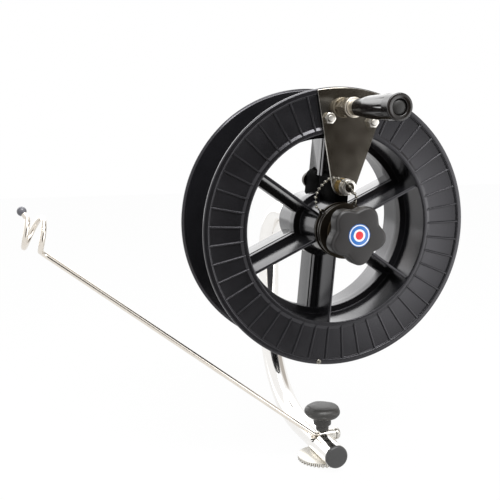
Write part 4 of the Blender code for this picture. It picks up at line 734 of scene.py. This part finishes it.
# Warm grey sheet whose brushing draws every reflection out into long streaks.
brushed_sheet = steel("belt-brushed stainless sheet", "#a09b91", 0.07, grain=(0.5, 0.5, 18),
    relief=0.003, wear=0.04, dulled=0.8)


def plate_outline():
    """Tangents from the round tip out to the rim, closed by an arc that follows the rim."""
    corner = asin(PLATE_HALF / PLATE_REACH)
    corner_y = PLATE_REACH * cos(corner)
    slope = atan2(PLATE_HALF, corner_y - PLATE_TIP_PLACE)
    lean = slope - asin(PLATE_TIP_RADIUS / hypot(PLATE_HALF, corner_y - PLATE_TIP_PLACE))
    tip = [lean + (pi - 2 * lean) * i / 40 for i in range(41)]
    points = [(PLATE_TIP_RADIUS * cos(a), PLATE_TIP_PLACE - PLATE_TIP_RADIUS * sin(a)) for a in tip]
    span = corner * (1 - PLATE_CORNER / PLATE_HALF)
    top = [pi / 2 + span - 2 * span * i / 48 for i in range(49)]
    return points + [(PLATE_REACH * cos(a), PLATE_REACH * sin(a)) for a in top]


plate_high = PLATE_LOW + PLATE_THICKNESS
plate = dressed("crank_plate_fine", prism(plate_outline(), PLATE_LOW, plate_high, 0.3), crank_axis,
    brushed_sheet, "spool", ["crank_plate"], crease=15)
# The sheared edges are bare and bright against the dull faces.
sheared_edge = steel("sheared stainless edge", "#d9d5cd", 0.2, relief=0.004, wear=0.1)
plate.data.materials.append(sheared_edge)
for face in plate.data.polygons:
    face.material_index = int(abs(face.normal.y) < 0.85)


# Bolts, nuts, spacers and washer. Cold-headed stainless screws with rolled threads, and nuts
# faced on both sides, so each corner ends in a small bright curve.

CRANK_BOLT_ASIDE, CRANK_BOLT_ALONG = 23.1, 107.96
CRANK_BOLT_RADIUS, CRANK_HEAD_RADIUS, CRANK_BOLT_END = 3.0, 6.2, 54.95
CRANK_HEAD_HEIGHT, CRANK_HEAD_SIDE, CRANK_HEAD_CROWN = 3.2, 1.25, 3.9
TIP_BOLT_RADIUS, TIP_HEAD_RADIUS, TIP_HEAD_FACE, TIP_HEAD_HEIGHT = 4.0, 8.0, -41.95, 4.5
TIP_SPACER_RADIUS, TIP_SPACER_LENGTH, TIP_WASHER_RADIUS, TIP_WASHER_THICKNESS = 8.0, 5.0, 8.3, 1.6
TIP_CUP_RADIUS, TIP_CUP_LENGTH = 9.2, 4.6
RIM_SCREW_TURN, RIM_SCREW_RADIUS, RIM_HEAD_RADIUS, RIM_SCREW_TOP = -93.4, 1.5, 2.6, 47.9

# Bright steel with a slight satin from tumbling.
fastener_steel = steel("tumbled stainless steel", "#cfccc6", 0.18, relief=0.003, wear=0.12)
plate_seat = plate_high + GAP


def nut_shape(flats, bore, height, low=plate_seat):
    """Hexagon nut with the curved corner chamfers that facing leaves."""
    facing = flats / 2 * 0.97
    bevel = tan(radians(30))
    turns = [2 * pi * i / 96 for i in range(96)]

    def corner(turn):
        return flats / 2 / cos(turn % (pi / 3) - pi / 6)

    def ring(radius_of, height_of):
        return [(radius_of(t) * cos(t), radius_of(t) * sin(t), height_of(t)) for t in turns]

    high = low + height
    return ringed([ring(lambda t: bore, lambda t: low), ring(lambda t: facing, lambda t: low),
        ring(corner, lambda t: low + (corner(t) - facing) * bevel),
        ring(corner, lambda t: high - (corner(t) - facing) * bevel),
        ring(lambda t: facing, lambda t: high), ring(lambda t: bore + 0.5, lambda t: high),
        ring(lambda t: bore, lambda t: high - 0.5)])


def at(aside, along):
    """A place on the crank plate, aside of and along its centre line."""
    return crank_axis @ Matrix.Translation((aside, along, 0))


def fastener(node, shape, place, finish=fastener_steel):
    """A small metal piece that turns with the spool and stands for the node of its name."""
    dressed(node + "_fine", shape, place, finish, "spool", [node], crease=35)


head_face = FLANGE_BACK - GAP
for word, aside in (("left", -CRANK_BOLT_ASIDE), ("right", CRANK_BOLT_ASIDE)):
    crank_bolt = turned([(0, head_face - CRANK_HEAD_HEIGHT),
        (CRANK_HEAD_CROWN, head_face - CRANK_HEAD_HEIGHT + 0.25, 1),
        (CRANK_HEAD_RADIUS, head_face - CRANK_HEAD_SIDE, 1), (CRANK_HEAD_RADIUS, head_face, 0.3),
        (CRANK_BOLT_RADIUS, head_face), (CRANK_BOLT_RADIUS, CRANK_BOLT_END, 0.6),
        (0, CRANK_BOLT_END)], 48)
    crank_nut = nut_shape(flats=10, bore=CRANK_BOLT_RADIUS + GAP, height=5)
    fastener("crank_bolt_" + word, crank_bolt, at(aside, CRANK_BOLT_ALONG))
    fastener("crank_nut_" + word, crank_nut, at(aside, CRANK_BOLT_ALONG))

tip_place, tip_bore = at(0, TIP_BOLT_PLACE), TIP_BOLT_RADIUS + GAP
fastener("tip_bolt", turned([(0, TIP_HEAD_FACE - TIP_HEAD_HEIGHT),
    (TIP_HEAD_RADIUS, TIP_HEAD_FACE - TIP_HEAD_HEIGHT, 1.2), (TIP_HEAD_RADIUS, TIP_HEAD_FACE, 0.3),
    (TIP_BOLT_RADIUS, TIP_HEAD_FACE), (TIP_BOLT_RADIUS, TIP_BOLT_END, 0.9), (0, TIP_BOLT_END)],
    64), tip_place, drag_steel)
rear_spacer = washer_outline(tip_bore, TIP_CUP_RADIUS, TIP_HEAD_FACE + GAP, TIP_CUP_LENGTH)
fastener("tip_rear_spacer", turned(rear_spacer, 64), tip_place, drag_steel)
spacer = washer_outline(tip_bore, TIP_SPACER_RADIUS, plate_seat, TIP_SPACER_LENGTH)
fastener("tip_spacer", turned(spacer, 64), tip_place, insert_brass)
ring_low = plate_seat + TIP_SPACER_LENGTH + GAP
ring_high = ring_low + TIP_WASHER_THICKNESS
tip_washer = turned([(tip_bore, ring_low), (TIP_WASHER_RADIUS, ring_low, 0.3),
    (TIP_WASHER_RADIUS, ring_high, 0.4), (tip_bore, ring_high)], 64)
tip_nut = nut_shape(flats=14.2, bore=tip_bore, height=6, low=ring_high + GAP)
fastener("tip_washer", tip_washer, tip_place)
fastener("tip_nut", tip_nut, tip_place)

rim_reach, rim_turn = (FLANGE_RADIUS + RIM_INNER) / 2, radians(RIM_SCREW_TURN)
fastener("rim_screw", turned([(0, FLANGE_BACK), (RIM_SCREW_RADIUS, FLANGE_BACK),
    (RIM_SCREW_RADIUS, SPOOL_FACE + GAP), (RIM_HEAD_RADIUS, SPOOL_FACE + GAP, 0.2),
    (RIM_HEAD_RADIUS, RIM_SCREW_TOP - 0.6, 0.5), (RIM_HEAD_RADIUS - 1, RIM_SCREW_TOP, 0.5),
    (0, RIM_SCREW_TOP)], 40), at(rim_reach * cos(rim_turn), rim_reach * sin(rim_turn)),
    chain_nickel)


# Handle bolt, nut and ferrule. The nut clamps the bolt to the plate, and the turned ferrule
# closes the grip's neck.

HANDLE_ASIDE, HANDLE_ALONG = -4.4, 119.8
HANDLE_BOLT_RADIUS, HANDLE_BOLT_FOOT, HANDLE_BOLT_END = 4.0, 6.0, 150.45
HANDLE_NUT_HEIGHT, FERRULE_RADIUS, FERRULE_NECK = 8.0, 10.0, 7.8

# Turned nickel-bright steel, a shade warmer than the frame.
handle_steel = steel("bright turned steel", "#cdc6ba", 0.15, relief=0.003, wear=0.12)
handle_place = at(HANDLE_ASIDE, HANDLE_ALONG)
handle_bore = HANDLE_BOLT_RADIUS + GAP
ferrule_low = plate_seat + HANDLE_NUT_HEIGHT + GAP
ferrule_step, ferrule_high = ferrule_low + 8, ferrule_low + 18
fastener("handle_bolt", turned([(0, PLATE_LOW), (HANDLE_BOLT_FOOT, PLATE_LOW),
    (HANDLE_BOLT_RADIUS, PLATE_LOW + 1.4), (HANDLE_BOLT_RADIUS, HANDLE_BOLT_END, 0.5),
    (0, HANDLE_BOLT_END)], 48), handle_place, handle_steel)
fastener("handle_nut", nut_shape(flats=17, bore=handle_bore, height=HANDLE_NUT_HEIGHT),
    handle_place, handle_steel)
fastener("handle_ferrule", turned([(handle_bore, ferrule_low), (FERRULE_RADIUS, ferrule_low, 1.1),
    (FERRULE_RADIUS, ferrule_step, 1.1), (FERRULE_NECK, ferrule_step, 0.6),
    (FERRULE_NECK, ferrule_high, 0.4), (handle_bore, ferrule_high)]), handle_place, handle_steel)


# Grip and its cap. Glossy black plastic, moulded hollow, swelling from a slim neck to a plain
# band, with ten shallow flutes along it, and closed by a pressed-in plug.

GRIP_LOW, GRIP_HIGH, GRIP_BAND = 75.35, 157.35, 14.0
GRIP_NECK, GRIP_WAIST, GRIP_END, GRIP_ROUND, GRIP_SIDES = 8.3, 10.6, 12.3, 1.2, 240
GRIP_FLUTES, FLUTE_DEPTH, FLUTE_TOOL, FLUTE_TURN, FLUTE_START = 10, 0.7, 2.0, 0.13, 12.3
GRIP_CAP_RADIUS, GRIP_CAP_SHOULDER, GRIP_CAP_RIM, GRIP_CAP_FACE = 6.9, 155.1, 156.4, 156.7

# Glossy black that mirrors the studio's light in one clean band.
grip_plastic = plastic("glossy black plastic", "#14110f", 0.2, grain=2.5, relief=0.004)


def grip_radius(height):
    """Radius of the grip's body at a height: slim neck, slow swell, plain band."""
    length = GRIP_HIGH - GRIP_LOW
    knots = [(0, GRIP_NECK), (length * 0.06, GRIP_NECK * 1.02), (length * 0.3, GRIP_WAIST),
        (length - GRIP_BAND, GRIP_END), (length, GRIP_END)]
    along = height - GRIP_LOW
    for (a, low), (b, high) in zip(knots, knots[1:]):
        if along <= b:
            return low + (high - low) * (along - a) / (b - a)
    return GRIP_END


def fluted(height, turn):
    """The grip's radius at a height and angle, with the flutes' round cuts taken out."""
    body = grip_radius(height)
    if height > GRIP_HIGH - GRIP_BAND + GRIP_ROUND or height < GRIP_LOW + FLUTE_START:
        return body
    step = 2 * pi / GRIP_FLUTES
    off = (turn - FLUTE_TURN * pi / GRIP_FLUTES + step / 2) % step - step / 2
    centre = GRIP_END + FLUTE_TOOL - FLUTE_DEPTH
    if abs(centre * sin(off)) >= FLUTE_TOOL:
        return body
    return min(body, centre * cos(off) - sqrt(FLUTE_TOOL**2 - (centre * sin(off)) ** 2))


grip_turns = [2 * pi * i / GRIP_SIDES for i in range(GRIP_SIDES)]
grip_heights = [GRIP_LOW + i * (GRIP_HIGH - GRIP_ROUND - GRIP_LOW) / 130 for i in range(131)]
grip_rings = [[(fluted(z, t) * cos(t), fluted(z, t) * sin(t), z) for t in grip_turns]
    for z in grip_heights]
pocket = GRIP_CAP_RADIUS + GAP
grip_end = [(GRIP_END - 0.12, GRIP_HIGH - 0.6), (GRIP_END - 0.45, GRIP_HIGH - 0.2),
    (GRIP_END - GRIP_ROUND, GRIP_HIGH), (pocket + 0.4, GRIP_HIGH), (pocket, GRIP_HIGH - 0.4),
    (pocket, HANDLE_BOLT_END)]
grip_rings += [[(r * cos(t), r * sin(t), z) for t in grip_turns] for r, z in grip_end]
dressed("grip_fine", ringed(grip_rings, open_ends=True), handle_place, grip_plastic, "grip",
    ["grip"], crease=50)
# Greyer and drier than the grip, so the plug shows as a separate round.
cap_plastic = plastic("grey-black cap plastic", "#100f0d", 0.5, grain=0.5, relief=0.01)
turned_piece("grip_cap", [(0, HANDLE_BOLT_END + GAP), (GRIP_CAP_RADIUS, HANDLE_BOLT_END + GAP),
    (GRIP_CAP_RADIUS, GRIP_CAP_SHOULDER, 0.6), (4.6, GRIP_CAP_RIM, 2), (0, GRIP_CAP_FACE)],
    handle_place, cap_plastic, "grip", 64)


# Clamp knob, its stud and pad. Matt black moulded knob with five soft lobes on a steel stud,
# which presses a brass pad on the wire.

CLAMP_RADIUS, CLAMP_VALLEY, CLAMP_LOBES, CLAMP_TURN = 19.6, 0.9, 5, 90
CLAMP_LOW, CLAMP_HIGH = 46.6, 61.1
CLAMP_NECK, CLAMP_SKIRT, CLAMP_SKIRT_LOW, CLAMP_SKIRT_HIGH = 6.9, 9.5, 39.6, 51.0
# How far the knob's side draws in, as shares of its overhang, at shares of its height.
CLAMP_PROFILE = ((0.92, 0), (0.38, 0.14), (0.08, 0.36), (0, 0.55), (0.10, 0.76), (0.36, 0.92),
    (0.85, 1))
CLAMP_OVERHANG = 10.6
STUD_RADIUS, STUD_LOW, STUD_HIGH, PAD_LOW, PAD_THICKNESS = 3.0, 31.6, 46.6, 30.1, 1.2

clamp_knots = [Vector((CLAMP_OVERHANG * inset, CLAMP_LOW + (CLAMP_HIGH - CLAMP_LOW) * rise, 0))
    for inset, rise in CLAMP_PROFILE]
clamp_layers = [(p.x, p.y) for p in smooth_route(clamp_knots, 6)]
clamp = ringed(lofted(lobed(CLAMP_RADIUS, CLAMP_VALLEY, CLAMP_LOBES, CLAMP_TURN), clamp_layers),
    open_ends=True)
stem_low = SLEEVE_HEIGHT + SLEEVE_RADIUS + GAP
socket = STUD_RADIUS + GAP
merged(clamp, turned([(socket, stem_low), (CLAMP_NECK, stem_low, 0.4),
    (CLAMP_NECK, CLAMP_SKIRT_LOW - 0.2), (CLAMP_SKIRT, CLAMP_SKIRT_LOW, 1.1),
    (CLAMP_SKIRT, CLAMP_SKIRT_HIGH), (socket, CLAMP_SKIRT_HIGH)]))
# The same resin as the star knob's, polished by handling: greyer, with a soft light on its edges.
worn_phenolic = plastic("hand-worn grey phenolic", "#32312f", 0.45, grain=0.35, relief=0.01,
    paler=1.1)
dressed("clamp_knob_fine", clamp, Matrix(), worn_phenolic, "clamp_knob",
    ["clamp_knob"], crease=60)
turned_piece("clamp_stud", [(0, STUD_LOW), (STUD_RADIUS, STUD_LOW, 0.4), (STUD_RADIUS, STUD_HIGH),
    (0, STUD_HIGH)], Matrix(), fastener_steel, "clamp_knob", 48)
turned_piece("clamp_pad", washer_outline(0, STUD_RADIUS - GAP, PAD_LOW, PAD_THICKNESS, 0.2),
    Matrix(), insert_brass, "clamp_pad", 48)


# Wire guide. One length of stainless wire, 5.2 mm thick, bent at its foot and coiled at its end
# into a pigtail that the line is dropped into, with a black ball pressed on the tip.

WIRE_RADIUS, WIRE_RISE, WIRE_FOOT_END, WIRE_FOOT_BEND, WIRE_STRAIGHT = 2.6, 37.5, 17.7, 9.0, 350.0
COIL_RADIUS, COIL_PITCH, COIL_TILT, COIL_TURNS, COIL_LEAD = 15.6, 15.5, 19, 1.39, 25
COIL_CORNER, COIL_SET, COIL_TAIL, COIL_TAIL_LEAN = 8.0, 0.5, 7.5, 0.75
BALL_RADIUS, BALL_DEPTH = 4.5, 2.7
END_NUT_OUTLINE = [(0, 0), (6.4, 0, 0.3), (6.4, 2.2, 0.3), (5.4, 4.4, 1), (2.6, 5.7, 1), (0, 5.8)]

# Drawn wire: bright, and a little uneven from the die.
wire_steel = steel("drawn stainless wire", "#ebe4da", 0.17, grain=(3, 3, 3), relief=0.0001,
    wear=0.04)


def wire_route():
    """Foot inside the sleeve, foot bend, straight rise, the pigtail's turns and its tail."""
    left, toward = Vector((-1, 0, 0)), Vector((0, -1, 0))
    start = Vector((-SLEEVE_LEFT - GAP, 0, SLEEVE_HEIGHT))
    route = [Vector((WIRE_FOOT_END, 0, SLEEVE_HEIGHT))]
    route += arc(start + up * WIRE_FOOT_BEND, WIRE_FOOT_BEND, 0, WIRE_RISE, 16, -up, left)
    rise = left * cos(radians(WIRE_RISE)) + up * sin(radians(WIRE_RISE))
    corner = route[-1] + rise * WIRE_STRAIGHT
    axis = left * cos(radians(COIL_TILT)) + up * sin(radians(COIL_TILT))
    down = axis.cross(toward).normalized()
    down = -down if down.z > 0 else down
    centre = corner - down * COIL_RADIUS + axis * COIL_SET

    def coil(turn):
        spoke = down * cos(turn) + toward * sin(turn)
        return centre + spoke * COIL_RADIUS + axis * COIL_PITCH * turn / (2 * pi)

    entry, lead = corner - rise * COIL_CORNER, radians(COIL_LEAD)
    for i in range(16):
        t = i / 16
        route.append(entry * (1 - t) ** 2 + corner * 2 * t * (1 - t) + coil(lead) * t**2)
    last = 2 * pi * COIL_TURNS
    route += [coil(lead + (last - lead) * i / 120) for i in range(121)]
    tail = ((coil(last) - coil(last - 0.12)).normalized() + axis * COIL_TAIL_LEAN).normalized()
    return route + [route[-1] + tail * COIL_TAIL]


guide_route = wire_route()
dressed("guide_wire_fine", swept(guide_route, WIRE_RADIUS, 32), Matrix(), wire_steel, "guide",
    ["guide_wire"])
nut_place = along_x @ Matrix.Translation((0, 0, SLEEVE_LENGTH - SLEEVE_LEFT + GAP))
turned_piece("guide_end_nut", END_NUT_OUTLINE, nut_place, fastener_steel, "guide",
    64)
# Black rubber, dulled grey by wear.
tip_rubber = plastic("worn black rubber", "#57575c", 0.3, grain=0.4, relief=0.006)
ball_way = (guide_route[-1] - guide_route[-2]).normalized()
ball_place = Matrix.Translation(guide_route[-1] + ball_way * (BALL_RADIUS - BALL_DEPTH))
ball = bmesh.new()
bmesh.ops.create_uvsphere(ball, u_segments=48, v_segments=32, radius=BALL_RADIUS)
dressed("guide_tip_ball_fine", ball, ball_place, tip_rubber, "guide",
    ["guide_tip_ball"])


# Studio. A white table and a soft white tent that is darker behind the camera, a softbox
# overhead and a strip light high in front. The camera is where the photograph was taken.

FLOOR_DROP, FLOOR_SIZE, FLOOR_FRONT = 0.3, 3000, -420
FLOOR_SEEN, FLOOR_MIRRORED = 0.97, 0.9
ROOM_BROWN = "#ffefdc"
TENT_FRONT, TENT_BACK, TENT_SHADED = 0.06, 1.0, 0.32
TENT_OPENING, TENT_OPENING_CORE, TENT_OPENING_EDGE = (0.035, -1, -0.09), 0.912, 0.855
# The tent's brighter panels at the right front, the left back and high at the back, and its shaded
# one at the right: direction, how far the core and the edge reach as the cosine of an angle, and
# the light added.
TENT_PANELS = (((0.798, -0.559, -0.225), 0.888, 0.868, 2.1), ((-0.45, 0.88, 0), 0.93, 0.8, 1.0),
    ((0.1, 0.75, 0.62), 0.88, 0.76, 1.5), ((0.8, -0.05, 0.5), 0.95, 0.85, -0.5))
CAMERA_PLACE, CAMERA_TILT, CAMERA_TURN = (-0.3423, -0.8074, 0.3728), 80.71, -17.87
CAMERA_LENS, CAMERA_SENSOR = 61.06, 36
WHITE = srgb("#ffffff")

floor_shape = bmesh.new()
bmesh.ops.create_grid(floor_shape, x_segments=1, y_segments=1, size=FLOOR_SIZE)
for corner in floor_shape.verts:
    corner.co.y = max(corner.co.y, FLOOR_FRONT)
# Matt white paper, faintly mottled. The camera sees it nearly plain white under a weak shadow.
floor_material, floor_tree, floor_shader, floor_place = new_material("white studio table")
floor_grain = add(floor_tree, "TexNoise", {"Vector": floor_place, "Scale": 1 / (60 * MM)})
floor_colour = add(floor_tree, "Mix", {0: floor_grain, 6: srgb("#f4f4f4"), 7: srgb("#f7f7f7")},
    data_type="RGBA")
floor_tree.links.new(result(floor_colour), floor_shader.inputs["Base Color"])
floor_shader.inputs["Roughness"].default_value = 0.9
floor_rays = add(floor_tree, "LightPath")
floor_mirrored = add(floor_tree, "Math", {0: floor_rays.outputs["Is Glossy Ray"],
    1: FLOOR_MIRRORED}, operation="MULTIPLY")
floor_share = add(floor_tree, "Mix", {0: floor_rays.outputs["Is Camera Ray"], 2: floor_mirrored,
    3: FLOOR_SEEN})
floor_white = add(floor_tree, "Emission", {"Color": WHITE, "Strength": 1})
floor_mix = add(floor_tree, "MixShader", {0: floor_share, 1: floor_shader, 2: floor_white})
floor_tree.links.new(result(floor_mix), floor_tree.nodes["Material Output"].inputs["Surface"])
floor = dressed("studio_floor", floor_shape, Matrix.Translation((0, 0, -FLOOR_DROP)),
    floor_material)

world = bpy.data.worlds.new("white tent")
bpy.context.scene.world = world
world.use_nodes = True
sky = world.node_tree
direction = add(sky, "TexCoord").outputs["Generated"]


def toward_share(target, core, edge, low, high):
    """A soft patch of the tent: high in its core, low beyond its edge."""
    near = add(sky, "VectorMath", {0: direction, 1: Vector(target).normalized()},
        operation="DOT_PRODUCT")
    return add(sky, "MapRange", {"Value": near, "From Min": edge, "From Max": core, "To Min": low,
        "To Max": high}, interpolation_type="SMOOTHSTEP")


tent = toward_share(TENT_OPENING, TENT_OPENING_CORE, TENT_OPENING_EDGE, TENT_BACK, TENT_FRONT)
for target, core, edge, light in TENT_PANELS:
    tent = add(sky, "Math", {0: tent, 1: toward_share(target, core, edge, 0, light)},
        operation="ADD")
# Polished steel mirrors the tent in full, and the light that falls on the object is a share of it.
sky_rays = add(sky, "LightPath")
tent_share = add(sky, "Math", {0: sky_rays.outputs["Is Glossy Ray"], 1: 1 - TENT_SHADED,
    2: TENT_SHADED}, operation="MULTIPLY_ADD")
shown = add(sky, "Math", {0: tent, 1: tent_share}, operation="MULTIPLY")
level = add(sky, "Mix", {0: sky_rays.outputs["Is Camera Ray"], 2: shown, 3: 1.0})
# The opening looks out on a brown room, which warms the dark lines in the polished steel.
whiteness = add(sky, "Math", {0: tent, 1: sky_rays.outputs["Is Camera Ray"]}, operation="MAXIMUM")
tent_colour = add(sky, "Mix", {0: whiteness, 6: srgb(ROOM_BROWN), 7: WHITE}, data_type="RGBA")
sky.links.new(result(tent_colour), sky.nodes["Background"].inputs["Color"])
sky.links.new(result(level), sky.nodes["Background"].inputs["Strength"])


def lamp(name, place, target, size, power):
    """A soft rectangular lamp in metres and watts that faces a point."""
    light = bpy.data.lights.new(name, "AREA")
    light.shape = "RECTANGLE"
    light.size, light.size_y = size
    light.energy = power
    made = bpy.data.objects.new(name, light)
    made.location = place
    made.rotation_euler = (Vector(target) - Vector(place)).to_track_quat("-Z", "Y").to_euler()
    bpy.context.scene.collection.objects.link(made)


lamp("overhead softbox", place=(-0.08, -0.02, 1.4), target=(-0.05, -0.02, 0.25), size=(1.0, 0.6),
    power=8)
lamp("front strip light", place=(0, -0.95, 1.4), target=(0, 0, 0.3), size=(1.3, 0.4), power=26)

scene = bpy.context.scene
scene.view_settings.view_transform = "Standard"
camera = bpy.data.objects.new("photo camera", bpy.data.cameras.new("photo camera"))
camera.data.lens, camera.data.sensor_width = CAMERA_LENS, CAMERA_SENSOR
camera.location = CAMERA_PLACE
camera.rotation_euler = (radians(CAMERA_TILT), 0, radians(CAMERA_TURN))
scene.collection.objects.link(camera)
scene.camera = camera
